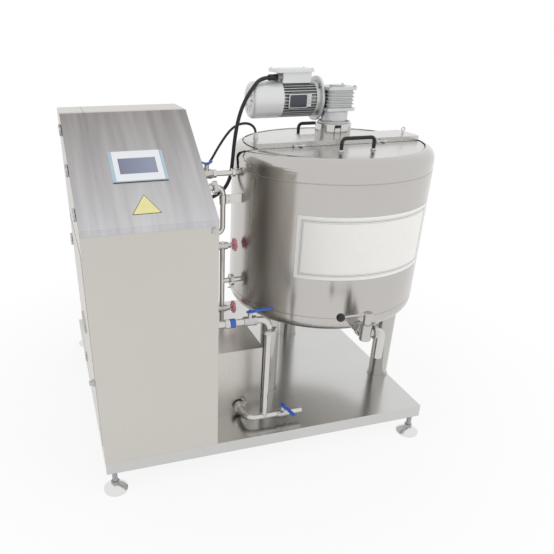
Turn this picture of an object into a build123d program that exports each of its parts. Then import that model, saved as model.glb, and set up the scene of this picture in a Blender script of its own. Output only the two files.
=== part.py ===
from build123d import *
import math
import os

os.makedirs("parts", exist_ok=True)

# Fits between pieces
running = 0.05  # shaft in its bore, on the radius
seat_gap = 0.3  # between pieces that move past each other
hinge_play = 0.5  # between neighbouring hinge knuckles

# Base: a folded tray on four bell feet
tray_length = 1687
tray_depth = 1560
tray_height = 64
tray_sheet = 3
tray_flange = 25
foot_pad = 90
foot_height = 117
foot_radius = 58
foot_inset_x = 38
foot_inset_y = 25
stem_radius = 12
stem_engagement = 48
bush_radius = 20
bush_height = 30
stiffener_width = 40
stiffener_height = 50
stiffener_inset = 65
stiffener_sheet = 3

# Cabinet with its sloping console
cabinet_width = 545
cabinet_depth = 749
cabinet_sheet = 2
fold_height = 1120
console_height = 1468
console_run = 525
console_lip = 25
console_door_depth = 16
console_frame = 22
side_door_from_front = 60
side_door_to_rear = 60
side_door_bottom = 60
side_door_height = 940
side_door_lap = 20
louvre_count = 3
louvre_pitch = 20
latch_reach = 26

# Touch panel
panel_width = 226.5
panel_height = 163
panel_up_slope = 225.5
panel_from_left = 162
panel_proud = 7
panel_corner = 6
screen_width = 154
screen_height = 86
screen_recess = 1.2

# Tank
tank_from_left = 1306
tank_from_front = 585
tank_radius = 497
tank_bottom = 465
tank_top = 1290
tank_knuckle = 62
tank_shoulder = 59
tank_sheet = 2.5
throat_radius = 446
ledge_height = 1260
vessel_radius = 430
vessel_bottom = 500
vessel_knuckle = 60
vessel_sheet = 3
leg_count = 3
leg_circle = 395
leg_first_angle = -32.6
leg_radius = 51
leg_wall = 3
leg_base_radius = 58
leg_base_height = 7

# Lids and bridge
lid_radius = 441
lid_top = 1286
lid_sheet = 2
gasket_width = 12
gasket_height = 3.7
bridge_width = 192
bridge_top = 1310
bridge_sheet = 4
lid_corner_reach = 423
lid_hinge_offset = 219
hinge_barrel = 6
hinge_pin = 3
hinge_length = 56
handle_span = 165
handle_rise = 58
handle_radius = 8.5
handle_bend = 20
front_handle_back = 260
rear_handle_back = 225

# Drive
stand_radius = 87
stand_height = 68
stand_wall = 4
stand_bore = 45
neck_radius = 64
neck_height = 57
gearbox_size = 128
gearbox_flange_size = 146
gearbox_height = 106
gearbox_flange = 14
motor_offset = 63
motor_flange_radius = 100
motor_flange_thickness = 13
motor_core_radius = 70
motor_radius = 80
motor_length = 187
motor_fin_count = 36
motor_fin = 3
cowl_radius = 82
cowl_length = 149
cowl_sheet = 2
motor_axis_rise = 48
box_length = 146
box_depth = 94
box_height = 46
box_rise = 73
box_lid_length = 191
box_lid_depth = 116
box_lid_height = 15
box_lid_shift = -15
gland_radius = 13
motor_cable_diameter = 18

# Agitator
shaft_radius = 15
shaft_bottom = 560
anchor_radius = 330
anchor_top = 1010
anchor_bar_width = 40
anchor_bar = 8
anchor_hub_radius = 24
anchor_hub_height = 90

# Temperature probe
probe_from_axis_x = -381
probe_from_axis_y = 62
probe_radius = 14
probe_height = 26
probe_rod_radius = 4
probe_rod_length = 380
probe_cable_diameter = 12

# Water box on the deck
water_box_length = 300
water_box_depth = 262
water_box_height = 377
water_box_from_front = 215
water_box_sheet = 2
box_stub = 18
water_box_corner = 6

# Pipework
pipe_radius = 16
pipe_wall = 1.5
small_pipe_radius = 13
pipe_bend = 50
ferrule_radius = 25.3
ferrule_height = 6
clamp_radius = 32
clamp_width = 17
clamp_gasket = 2
union_radius = 23
union_width = 16
ball_body_radius = 24
ball_body_length = 62
lever_stem_radius = 5
lever_width = 18
lever_sheet = 4
lever_length = 108
supply_from_front = 89
supply_height = 605
supply_valve_from_left = 722
supply_union_share = 0.46
drop_from_left = 817
drop_clamp_height = 540
drain_height = 50
box_outlet_from_left = 724
drain_valve_from_left = 917
drain_end_from_left = 1020
drain_tail_radius = 17
riser_from_left = 717
riser_from_front = 510
riser_foot = 120
upper_valve_height = 824
lower_valve_height = 477
branch_height = 635
wheel_radius = 33
wheel_thickness = 14
wheel_from_valve = 64
return_from_front = 560
return_height = 1171
return_valve_from_left = 650
bypass_height = 1117
bypass_foot = upper_valve_height + 68
bypass_clamp_from_left = 676

# Outlet cock
outlet_from_left = 1252
outlet_height = 530
outlet_radius = 21
outlet_wall = 2
outlet_nut_radius = 34
outlet_nut_length = 34
outlet_nut_from_front = 3
cock_radius = 27
cock_height = 84
cock_neck = 19
cock_gland_radius = 20
cock_gland_height = 58
spout_bend = 32
spout_foot = 388
outlet_lever_length = 140
outlet_lever_radius = 5
outlet_knob_radius = 20

# Placing: the origin lies on the floor in the middle of the machine's outline
deck_height = foot_height + tray_height
foot_overhang_y = foot_radius - foot_inset_y
cock_from_front = outlet_nut_from_front - outlet_nut_length / 2 - cock_radius
front_overhang = clamp_radius - cock_from_front
overall_width = latch_reach + tank_from_left + tank_radius
overall_depth = front_overhang + tray_depth + foot_overhang_y
tray_left = latch_reach - overall_width / 2
tray_front = front_overhang - overall_depth / 2


def at(x, y, z):
    """Point measured from the tray's front left corner, on the deck."""
    return (tray_left + x, tray_front + y, deck_height + z)


def facing_up(x, y, z):
    return Plane(origin=at(x, y, z))


def facing_right(x, y, z):
    return Plane(origin=at(x, y, z), x_dir=(0, 1, 0), z_dir=(1, 0, 0))


def facing_front(x, y, z):
    return Plane(origin=at(x, y, z), x_dir=(1, 0, 0), z_dir=(0, -1, 0))


def turned(plane, degrees):
    """The same plane, turned about its own normal."""
    turn = math.radians(degrees)
    x_dir = plane.x_dir * math.cos(turn) + plane.y_dir * math.sin(turn)
    return Plane(origin=plane.origin, x_dir=x_dir, z_dir=plane.z_dir)


def save(piece, name):
    piece.part.label = name
    export_step(piece.part, f"parts/{name}.step")


# Base tray: one folded pan with a return flange, foot pads and threaded bushes
foot_places = [
    (x, y)
    for x in (foot_inset_x, tray_length - foot_inset_x)
    for y in (foot_inset_y, tray_depth - foot_inset_y)
]
tray_under = facing_up(tray_length / 2, tray_depth / 2, -tray_height)

with BuildPart() as base_tray:
    with BuildSketch(tray_under):
        RectangleRounded(tray_length, tray_depth, 5)
    extrude(amount=tray_height)
    with BuildSketch(tray_under.offset(tray_sheet)):
        Rectangle(tray_length - 2 * tray_sheet, tray_depth - 2 * tray_sheet)
    extrude(amount=tray_height - 2 * tray_sheet, mode=Mode.SUBTRACT)
    with BuildSketch(tray_under):
        Rectangle(tray_length - 2 * tray_flange, tray_depth - 2 * tray_flange)
        with GridLocations(tray_length, tray_depth, 2, 2):
            Rectangle(2 * foot_pad, 2 * foot_pad, mode=Mode.SUBTRACT)
    extrude(amount=tray_sheet, mode=Mode.SUBTRACT)
    for x, y in foot_places:
        with BuildSketch(facing_up(x, y, tray_sheet - tray_height)):
            Circle(bush_radius)
        extrude(amount=bush_height)
        with BuildSketch(facing_up(x, y, -tray_height)):
            Circle(stem_radius)
        extrude(amount=tray_sheet + bush_height, mode=Mode.SUBTRACT)
save(base_tray, "base_tray")

# Stiffeners: folded channels welded under the deck, a ring with two long ribs
stiffener_length = tray_length - 2 * stiffener_inset
stiffener_depth = tray_depth - 2 * stiffener_inset
rib_pitch = (stiffener_length - stiffener_width) / 3
stiffener_plane = tray_under.offset(tray_height - tray_sheet - stiffener_height)


def stiffener_ring(wall):
    """Outline of the ring and its ribs, drawn in by a wall thickness."""
    width = stiffener_width - 2 * wall
    Rectangle(stiffener_length - 2 * wall, stiffener_depth - 2 * wall)
    Rectangle(
        stiffener_length - 2 * wall - 2 * width,
        stiffener_depth - 2 * wall - 2 * width,
        mode=Mode.SUBTRACT,
    )
    with GridLocations(rib_pitch, 0, 2, 1):
        Rectangle(width, stiffener_depth - 2 * wall)


with BuildPart() as tray_stiffeners:
    with BuildSketch(stiffener_plane):
        stiffener_ring(0)
    extrude(amount=stiffener_height)
    with BuildSketch(stiffener_plane.offset(stiffener_sheet)):
        stiffener_ring(stiffener_sheet)
    extrude(amount=stiffener_height, mode=Mode.SUBTRACT)
save(tray_stiffeners, "tray_stiffeners")

# Feet: pressed bell cups, each turning on a threaded stem with a lock nut
cup_rim = 9
cup_height = 36
cup_wall = 4
cup_neck = 17
nut_radius = 21
nut_height = 18

with BuildPart() as leveling_feet:
    for x, y in foot_places:
        foot = facing_front(x, y, -deck_height)
        with BuildSketch(foot):
            with BuildLine():
                l1 = Line((0, 0), (foot_radius, 0))
                l2 = Line(l1 @ 1, (foot_radius, cup_rim))
                l3 = ThreePointArc(l2 @ 1, (foot_radius * 0.62, cup_rim + 17), (cup_neck, cup_height))
                l4 = Line(l3 @ 1, (0, cup_height))
                Line(l4 @ 1, l1 @ 0)
            make_face()
        revolve(axis=Axis(foot.origin, (0, 0, 1)))
    fillet(leveling_feet.edges().group_by(Axis.Z)[0], 2)
save(leveling_feet, "leveling_feet")

with BuildPart() as foot_stems:
    for x, y in foot_places:
        stem = facing_up(x, y, cup_height - deck_height)
        with BuildSketch(stem):
            Circle(stem_radius)
        extrude(amount=foot_height - cup_height + stem_engagement)
        with BuildSketch(stem):
            RegularPolygon(nut_radius, 6)
        extrude(amount=nut_height)
save(foot_stems, "foot_stems")

# Cabinet: folded sheet body, open under the console door and at its side door
side_door_length = cabinet_depth - side_door_from_front - side_door_to_rear
side_door_middle = side_door_from_front + side_door_length / 2
console_rise = console_height - fold_height
slope_angle = math.degrees(math.atan2(console_rise, console_run))
slope_length = math.hypot(console_rise, console_run)
slope_along = Vector(0, math.cos(math.radians(slope_angle)), math.sin(math.radians(slope_angle)))
slope_normal = Vector(0, -slope_along.Z, slope_along.Y)
cabinet_side = facing_right(0, 0, 0)


def cabinet_outline(inset, slope_inset):
    """Side view of the cabinet, drawn in by the sheet and by the console door's depth."""
    drop = slope_inset / math.cos(math.radians(slope_angle))
    rise = math.tan(math.radians(slope_angle))
    low = (inset, fold_height - drop + inset * rise)
    high = ((console_height - inset - fold_height + drop) / rise, console_height - inset)
    back = cabinet_depth - inset
    Polyline((inset, 0), low, high, (back, console_height - inset), (back, 0), close=True)


with BuildPart() as cabinet_shell:
    with BuildSketch(cabinet_side):
        with BuildLine():
            cabinet_outline(0, console_door_depth + seat_gap)
        make_face()
    extrude(amount=cabinet_width)
    with BuildSketch(cabinet_side.offset(cabinet_sheet)):
        with BuildLine():
            cabinet_outline(cabinet_sheet, console_door_depth + seat_gap + cabinet_sheet)
        make_face()
    extrude(amount=cabinet_width - 2 * cabinet_sheet, mode=Mode.SUBTRACT)
    slope_face = Plane(
        origin=at(cabinet_width / 2, 0, fold_height) + slope_along * slope_length / 2,
        x_dir=(1, 0, 0),
        z_dir=slope_normal,
    )
    with BuildSketch(slope_face.offset(-2 * console_door_depth)):
        Rectangle(cabinet_width - 2 * console_frame, slope_length - 2 * console_frame - console_door_depth)
    extrude(amount=2 * console_door_depth, mode=Mode.SUBTRACT)
    door_hole = facing_right(0, side_door_middle, side_door_bottom + side_door_height / 2)
    with BuildSketch(door_hole):
        Rectangle(side_door_length - 2 * side_door_lap, side_door_height - 2 * side_door_lap)
    extrude(amount=cabinet_sheet, mode=Mode.SUBTRACT)
save(cabinet_shell, "cabinet_shell")

# Control gear inside: a mounting plate on four studs, with a rail of small devices
plate_width = 430
plate_height = 640
plate_from_deck = 300
plate_stand_off = 30
device_widths = (45, 45, 36, 36, 54, 80)
device_gap = 2
device_depth = 70
device_height = 85
rail_height = 35
rail_depth = 7
plate_back = cabinet_depth - cabinet_sheet - plate_stand_off
plate_plane = facing_front(cabinet_width / 2, plate_back, plate_from_deck + plate_height / 2)

with BuildPart() as control_gear:
    with BuildSketch(plate_plane):
        Rectangle(plate_width, plate_height)
    extrude(amount=3)
    with BuildSketch(plate_plane):
        with GridLocations(plate_width - 40, plate_height - 40, 2, 2):
            Circle(8)
    extrude(amount=-plate_stand_off)
    with BuildSketch(plate_plane.offset(3)):
        Rectangle(plate_width - 60, rail_height)
    extrude(amount=rail_depth)
    device_left = -(sum(device_widths) + device_gap * (len(device_widths) - 1)) / 2
    for device_width in device_widths:
        with BuildSketch(plate_plane.offset(3 + rail_depth)):
            with Locations((device_left + device_width / 2, 0)):
                Rectangle(device_width, device_height)
        extrude(amount=device_depth)
        with BuildSketch(plate_plane.offset(3 + rail_depth + device_depth)):
            with Locations((device_left + device_width / 2, 0)):
                Rectangle(device_width - 8, device_height * 0.45)
        extrude(amount=10)
        device_left += device_width + device_gap
save(control_gear, "control_gear")

# Side door: a flat pan with an inner return, pressed louvres and a round latch
door_outside = door_hole.offset(-seat_gap - cabinet_sheet)
door_return = 12
door_clearance = 3
louvre_length = 150
louvre_reach = 9
louvre_height = 13
louvre_from_deck = 545
louvre_from_front = 380
side_latch_from_front = 118
side_latch_from_deck = 381
side_latch_radius = 17
side_hinge_places = [side_door_bottom + side_door_height * share for share in (0.14, 0.86)]
side_hinge_from_front = side_door_from_front + side_door_length + hinge_barrel + 1
side_hinge_out = -hinge_barrel - seat_gap

with BuildPart() as side_door:
    with BuildSketch(door_outside):
        Rectangle(side_door_length, side_door_height)
    extrude(amount=cabinet_sheet)
    with BuildSketch(door_outside.offset(cabinet_sheet)):
        ring_length = side_door_length - 2 * side_door_lap - 2 * door_clearance
        ring_height = side_door_height - 2 * side_door_lap - 2 * door_clearance
        Rectangle(ring_length, ring_height)
        Rectangle(ring_length - 2 * cabinet_sheet, ring_height - 2 * cabinet_sheet, mode=Mode.SUBTRACT)
    extrude(amount=door_return + cabinet_sheet)
    for number in range(louvre_count):
        low = louvre_from_deck + number * louvre_pitch
        blade = Plane(
            origin=at(-seat_gap - cabinet_sheet, louvre_from_front - louvre_length / 2, low),
            x_dir=(-1, 0, 0),
            z_dir=(0, 1, 0),
        )
        with BuildSketch(blade):
            with BuildLine():
                Polyline((0, 0), (louvre_reach, 0), (0, -louvre_height), close=True)
            make_face()
        extrude(amount=louvre_length)
        with BuildSketch(blade.offset(cabinet_sheet)):
            with BuildLine():
                Polyline(
                    (-cabinet_sheet, -1.2),
                    (louvre_reach - 2.5, -1.2),
                    (-1, -louvre_height + 2.5),
                    (-cabinet_sheet, -louvre_height + 2.5),
                    close=True,
                )
            make_face()
        extrude(amount=louvre_length - 2 * cabinet_sheet, mode=Mode.SUBTRACT)
    for height in side_hinge_places:
        for end in (-1, 1):
            start = end * (hinge_length / 6 + hinge_play)
            knuckle = facing_up(side_hinge_out, side_hinge_from_front, height + start)
            with BuildSketch(knuckle):
                Circle(hinge_barrel)
                with Locations((hinge_barrel - cabinet_sheet / 2 - seat_gap, -hinge_barrel / 2 - 1)):
                    Rectangle(cabinet_sheet, hinge_barrel + 2)
                Circle(hinge_pin + running, mode=Mode.SUBTRACT)
            extrude(amount=end * hinge_length / 3)
save(side_door, "side_door")

with BuildPart() as side_door_hinges:
    for height in side_hinge_places:
        with BuildSketch(facing_up(side_hinge_out, side_hinge_from_front, height - hinge_length / 2)):
            Circle(hinge_pin)
        extrude(amount=hinge_length)
        with BuildSketch(facing_up(side_hinge_out, side_hinge_from_front, height - hinge_length / 6)):
            Circle(hinge_barrel)
            with Locations((hinge_barrel - cabinet_sheet / 2 + seat_gap, 12)):
                Rectangle(cabinet_sheet, 26)
        extrude(amount=hinge_length / 3)
save(side_door_hinges, "side_door_hinges")

latch_plane = facing_right(-seat_gap - cabinet_sheet, side_latch_from_front, side_latch_from_deck)
with BuildPart() as side_door_latch:
    with BuildSketch(latch_plane):
        Circle(side_latch_radius)
    extrude(amount=-(latch_reach - seat_gap - cabinet_sheet) * 0.4)
    with BuildSketch(latch_plane.offset(-(latch_reach - seat_gap - cabinet_sheet) * 0.4)):
        Circle(side_latch_radius * 0.7)
    extrude(amount=-(latch_reach - seat_gap - cabinet_sheet) * 0.6)
    fillet(side_door_latch.edges().group_by(Axis.X)[0], 2)
save(side_door_latch, "side_door_latch")

# Console door: a sloping pan with a lip folded down over the front
door_top_gap = 1
console_skin = slope_face.offset(0)
console_door_length = slope_length - door_top_gap
console_middle = -door_top_gap / 2
console_axis_height = -console_door_depth / 2
console_axis_out = -cabinet_width / 2 - hinge_barrel - seat_gap
console_hinge_places = [slope_length * share for share in (-0.36, 0.0, 0.36)]


def console_point(across, up, out):
    """Point on the console: across from its middle, up the slope, out of the skin."""
    return slope_face.origin + Vector(across, 0, 0) + slope_along * up + slope_normal * out


with BuildPart() as console_door:
    with BuildSketch(console_skin):
        with Locations((0, console_middle)):
            Rectangle(cabinet_width, console_door_length)
    extrude(amount=-console_door_depth)
    with BuildSketch(console_skin.offset(-cabinet_sheet)):
        with Locations((0, console_middle)):
            Rectangle(cabinet_width - 2 * cabinet_sheet, console_door_length - 2 * cabinet_sheet)
    extrude(amount=-console_door_depth, mode=Mode.SUBTRACT)
    lip = facing_up(cabinet_width / 2, 0, fold_height)
    with BuildSketch(facing_right(0, 0, fold_height)):
        with BuildLine():
            Polyline(
                (0, 0),
                (-cabinet_sheet - seat_gap, 0),
                (-cabinet_sheet - seat_gap, -console_lip),
                (-seat_gap, -console_lip),
                (-seat_gap, -cabinet_sheet),
                (6, cabinet_sheet),
                close=True,
            )
        make_face()
    extrude(amount=cabinet_width)
    with BuildSketch(console_skin):
        with Locations((panel_from_left + panel_width / 2 - cabinet_width / 2,
                        panel_up_slope + panel_height / 2 - slope_length / 2)):
            Rectangle(panel_width - 14, panel_height - 14)
    extrude(amount=-console_door_depth, mode=Mode.SUBTRACT)
    for up in console_hinge_places:
        for end in (-1, 1):
            knuckle = Plane(
                origin=console_point(console_axis_out, up + end * (hinge_length / 6 + hinge_play), console_axis_height),
                x_dir=(1, 0, 0),
                z_dir=slope_along,
            )
            with BuildSketch(knuckle):
                Circle(hinge_barrel)
                with Locations((hinge_barrel / 2 + seat_gap, hinge_barrel - 1)):
                    Rectangle(hinge_barrel + 2 * seat_gap, 2)
                Circle(hinge_pin + running, mode=Mode.SUBTRACT)
            extrude(amount=end * hinge_length / 3)
save(console_door, "console_door")

with BuildPart() as console_hinges:
    for up in console_hinge_places:
        for start, length, radius in (
            (-hinge_length / 2, hinge_length, hinge_pin),
            (-hinge_length / 6, hinge_length / 3, hinge_barrel),
        ):
            barrel = Plane(
                origin=console_point(console_axis_out, up + start, console_axis_height),
                x_dir=(1, 0, 0),
                z_dir=slope_along,
            )
            with BuildSketch(barrel):
                Circle(radius)
            extrude(amount=length)
        leaf = Plane(
            origin=console_point(console_axis_out, up - hinge_length / 6, console_axis_height),
            x_dir=(1, 0, 0),
            z_dir=slope_along,
        )
        with BuildSketch(leaf):
            with Locations((hinge_barrel - cabinet_sheet / 2, 14)):
                Rectangle(cabinet_sheet, 28)
        extrude(amount=hinge_length / 3)
save(console_hinges, "console_hinges")

# Touch panel: a moulded bezel through the door with a sunk screen
panel_plane = Plane(
    origin=console_point(
        panel_from_left + panel_width / 2 - cabinet_width / 2,
        panel_up_slope + panel_height / 2 - slope_length / 2,
        0,
    ),
    x_dir=(1, 0, 0),
    z_dir=slope_normal,
)
panel_body_depth = 34

with BuildPart() as touch_panel_bezel:
    with BuildSketch(panel_plane):
        RectangleRounded(panel_width, panel_height, panel_corner)
    extrude(amount=panel_proud)
    chamfer(touch_panel_bezel.faces().sort_by(Axis.Z)[-1].edges(), 2.5)
    with BuildSketch(panel_plane):
        Rectangle(panel_width - 16, panel_height - 16)
    extrude(amount=-panel_body_depth)
    with BuildSketch(panel_plane.offset(panel_proud - screen_recess)):
        Rectangle(screen_width, screen_height)
    extrude(amount=screen_recess, mode=Mode.SUBTRACT)
    with BuildSketch(panel_plane.offset(panel_proud - 3 * screen_recess)):
        Rectangle(screen_width, screen_height)
    extrude(amount=2 * screen_recess, mode=Mode.SUBTRACT)
save(touch_panel_bezel, "touch_panel_bezel")

with BuildPart() as touch_panel_screen:
    with BuildSketch(panel_plane.offset(panel_proud - 3 * screen_recess)):
        Rectangle(screen_width, screen_height)
    extrude(amount=2 * screen_recess)
save(touch_panel_screen, "touch_panel_screen")

# Console latch: a small toggle at the lip's right end
latch_body = facing_front(cabinet_width - 22, 0, fold_height - console_lip - 4)
with BuildPart() as console_latch:
    with BuildSketch(latch_body):
        with Locations((0, -14)):
            RectangleRounded(22, 26, 3)
    extrude(amount=3)
    with BuildSketch(latch_body.offset(3)):
        with Locations((0, -14)):
            RectangleRounded(13, 22, 3)
    extrude(amount=5)
    fillet(console_latch.edges().group_by(Axis.Y)[0], 1.5)
save(console_latch, "console_latch")

# Tank jacket: spun shell with a rounded shoulder, a knuckled bottom and a throat
tank_section = facing_front(tank_from_left, tank_from_front, 0)
tank_axis = Axis(tank_section.origin, (0, 0, 1))


def jacket_outline(inset):
    """Half section of the jacket, drawn in by the sheet thickness."""
    wall = tank_radius - inset
    bottom = tank_bottom + inset
    knuckle = tank_knuckle - inset
    shoulder = tank_shoulder - inset
    top = tank_top - inset
    l1 = Line((0, bottom), (wall - knuckle, bottom))
    l2 = RadiusArc(l1 @ 1, (wall, bottom + knuckle), -knuckle)
    l3 = Line(l2 @ 1, (wall, top - shoulder))
    l4 = RadiusArc(l3 @ 1, (wall - shoulder, top), -shoulder)
    l5 = Line(l4 @ 1, (0, top))
    Line(l5 @ 1, l1 @ 0)


outlet_bore = facing_front(outlet_from_left, tank_from_front, outlet_height)
branch_bore = facing_right(tank_from_left, riser_from_front, branch_height)
return_bore = facing_right(tank_from_left, return_from_front, return_height)

with BuildPart() as tank_jacket:
    with BuildSketch(tank_section):
        with BuildLine():
            jacket_outline(0)
        make_face()
        with BuildLine():
            jacket_outline(tank_sheet)
        make_face(mode=Mode.SUBTRACT)
        with Locations((0, ledge_height)):
            Rectangle(throat_radius, tank_top, align=(Align.MIN, Align.MIN), mode=Mode.SUBTRACT)
        throat_wall_top = tank_top - tank_shoulder + math.sqrt(
            tank_shoulder**2 - (throat_radius + tank_sheet - tank_radius + tank_shoulder) ** 2
        )
        with Locations((throat_radius, ledge_height)):
            Rectangle(tank_sheet, throat_wall_top - ledge_height, align=(Align.MIN, Align.MIN))
    revolve(axis=tank_axis)
    with BuildSketch(outlet_bore):
        Circle(outlet_radius)
    extrude(amount=2 * tank_radius, mode=Mode.SUBTRACT)
    with BuildSketch(branch_bore, return_bore):
        Circle(small_pipe_radius)
    extrude(amount=-2 * tank_radius, mode=Mode.SUBTRACT)
save(tank_jacket, "tank_jacket")

# Inner vessel: dished pan hung from the throat by its top flange
with BuildPart() as inner_vessel:
    with BuildSketch(tank_section):
        for inset in (0, vessel_sheet):
            wall = vessel_radius - inset
            knuckle = vessel_knuckle - inset
            floor = vessel_bottom + inset
            with BuildLine():
                l1 = Line((0, floor), (wall - knuckle, floor))
                l2 = RadiusArc(l1 @ 1, (wall, floor + knuckle), -knuckle)
                l3 = Line(l2 @ 1, (wall, ledge_height))
                l4 = Line(l3 @ 1, (0, ledge_height))
                Line(l4 @ 1, l1 @ 0)
            make_face(mode=Mode.SUBTRACT if inset else Mode.ADD)
        with Locations((vessel_radius - vessel_sheet, ledge_height - vessel_sheet)):
            Rectangle(
                throat_radius - vessel_radius + vessel_sheet, vessel_sheet, align=(Align.MIN, Align.MIN)
            )
    revolve(axis=tank_axis)
    with BuildSketch(outlet_bore):
        Circle(outlet_radius)
    extrude(amount=2 * tank_radius, mode=Mode.SUBTRACT)
save(inner_vessel, "inner_vessel")

# Legs: three tubes with welded base rings, on a circle under the tank
leg_places = [
    (
        tank_from_left + leg_circle * math.cos(math.radians(leg_first_angle + 360 / leg_count * leg)),
        tank_from_front + leg_circle * math.sin(math.radians(leg_first_angle + 360 / leg_count * leg)),
    )
    for leg in range(leg_count)
]
with BuildPart() as tank_legs:
    for x, y in leg_places:
        with BuildSketch(facing_up(x, y, 0)):
            Circle(leg_radius)
            Circle(leg_radius - leg_wall, mode=Mode.SUBTRACT)
        extrude(amount=tank_bottom)
        with BuildSketch(facing_up(x, y, 0)):
            Circle(leg_base_radius)
            Circle(leg_radius - leg_wall, mode=Mode.SUBTRACT)
        extrude(amount=leg_base_height)
save(tank_legs, "tank_legs")

# Lid gasket: a flat ring on the vessel's flange
with BuildPart() as lid_gasket:
    with BuildSketch(facing_up(tank_from_left, tank_from_front, ledge_height)):
        Circle(lid_radius)
        Circle(lid_radius - gasket_width, mode=Mode.SUBTRACT)
    extrude(amount=gasket_height)
save(lid_gasket, "lid_gasket")

# Bridge: a folded channel across the throat that carries the drive, with drip flanges
bridge_bottom = ledge_height + gasket_height
bridge_height = bridge_top - bridge_bottom
bridge_seat = facing_up(tank_from_left, tank_from_front, bridge_bottom)
drip_flange = 3
drip_reach = 16
probe_hole_radius = probe_rod_radius + 1
eye_from_axis = (383, -25)
eye_radius = 9
eye_wire = 3

eye_foot = facing_up(tank_from_left + eye_from_axis[0], tank_from_front + eye_from_axis[1], bridge_top)
eye_centre = eye_foot.origin + Vector(0, 0, 14 + eye_radius)

with BuildPart() as bridge_beam:
    with BuildSketch(bridge_seat):
        Circle(lid_radius)
        Rectangle(2 * lid_radius, bridge_width, mode=Mode.INTERSECT)
    extrude(amount=bridge_height)
    with BuildSketch(bridge_seat):
        Circle(lid_radius - bridge_sheet)
        Rectangle(2 * lid_radius, bridge_width - 2 * bridge_sheet, mode=Mode.INTERSECT)
    extrude(amount=bridge_height - bridge_sheet, mode=Mode.SUBTRACT)
    with BuildSketch(bridge_seat):
        Circle(stand_bore)
        with Locations((probe_from_axis_x, probe_from_axis_y)):
            Circle(probe_hole_radius)
    extrude(amount=bridge_height, mode=Mode.SUBTRACT)
    with BuildSketch(bridge_seat.offset(-drip_flange)):
        Circle(lid_radius - gasket_width - 1)
        Rectangle(2 * lid_radius, bridge_width + 2 * drip_reach, mode=Mode.INTERSECT)
        Rectangle(2 * lid_radius, bridge_width - 2 * bridge_sheet, mode=Mode.SUBTRACT)
    extrude(amount=drip_flange)
    with BuildSketch(eye_foot):
        Circle(7)
    extrude(amount=4)
    with BuildSketch(eye_foot):
        Circle(4)
    extrude(amount=14)
    with BuildSketch(Plane(origin=eye_centre + Vector(eye_radius, 0, 0), x_dir=(1, 0, 0), z_dir=(0, 0, 1))):
        Circle(eye_wire)
    revolve(axis=Axis(eye_centre, (0, 1, 0)))
save(bridge_beam, "bridge_beam")

# Half lids: shallow pans that hinge up from the bridge's two long faces
lid_seat = bridge_bottom + seat_gap
lid_height = lid_top - lid_seat
hinge_axis_height = lid_top + hinge_barrel + 1
hinge_axis_out = bridge_width / 2 + hinge_barrel + seat_gap
lid_edge = hinge_axis_out


def half_lid(side):
    """Half lid in front of the bridge (side -1) or behind it (side 1), with its knuckles."""
    with BuildPart() as lid:
        for inset, low, high, mode in (
            (0, 0, lid_height, Mode.ADD),
            (lid_sheet, 0, lid_height - lid_sheet, Mode.SUBTRACT),
        ):
            with BuildSketch(bridge_seat.offset(seat_gap + low)):
                Circle(lid_radius - inset)
                with Locations((0, side * (lid_edge + inset))):
                    Rectangle(
                        2 * (lid_corner_reach - inset),
                        2 * lid_radius,
                        align=(Align.CENTER, Align.MIN if side > 0 else Align.MAX),
                        mode=Mode.INTERSECT,
                    )
            extrude(amount=high - low, mode=mode)
        for across in (-lid_hinge_offset, lid_hinge_offset):
            for end in (-1, 1):
                knuckle = facing_right(
                    tank_from_left + across + end * (hinge_length / 6 + hinge_play),
                    tank_from_front + side * hinge_axis_out,
                    hinge_axis_height,
                )
                with BuildSketch(knuckle):
                    Circle(hinge_barrel)
                    with Locations((side * 10, -hinge_barrel)):
                        Rectangle(20, 2)
                    with Locations((side * 1, -hinge_barrel / 2 - 0.5)):
                        Rectangle(2 * hinge_pin, hinge_barrel)
                    Circle(hinge_pin + running, mode=Mode.SUBTRACT)
                extrude(amount=end * hinge_length / 3)
    return lid


lid_front = half_lid(-1)
save(lid_front, "lid_front")
lid_rear = half_lid(1)
save(lid_rear, "lid_rear")

with BuildPart() as lid_hinges:
    for side in (-1, 1):
        for across in (-lid_hinge_offset, lid_hinge_offset):
            pin_start = facing_right(
                tank_from_left + across - hinge_length / 2,
                tank_from_front + side * hinge_axis_out,
                hinge_axis_height,
            )
            with BuildSketch(pin_start):
                Circle(hinge_pin)
            extrude(amount=hinge_length)
            with BuildSketch(pin_start.offset(hinge_length / 3)):
                Circle(hinge_barrel)
                with Locations((-side * (hinge_barrel / 2 + seat_gap / 2), 5)):
                    Rectangle(hinge_barrel + seat_gap, 10)
                Circle(hinge_pin, mode=Mode.SUBTRACT)
                Circle(hinge_pin)
            extrude(amount=hinge_length / 3)
save(lid_hinges, "lid_hinges")


def lid_handle(side, offset):
    """Sleeved U handle standing on a half lid."""
    y = tank_from_front + side * offset
    left = tank_from_left - handle_span / 2
    right = tank_from_left + handle_span / 2
    with BuildPart() as handle:
        with BuildLine():
            FilletPolyline(
                at(left, y, lid_top),
                at(left, y, lid_top + handle_rise),
                at(right, y, lid_top + handle_rise),
                at(right, y, lid_top),
                radius=handle_bend,
            )
        with BuildSketch(facing_up(left, y, lid_top)):
            Circle(handle_radius)
        sweep()
    return handle


front_handle = lid_handle(-1, front_handle_back)
save(front_handle, "lid_front_handle")
rear_handle = lid_handle(1, rear_handle_back)
save(rear_handle, "lid_rear_handle")

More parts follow.
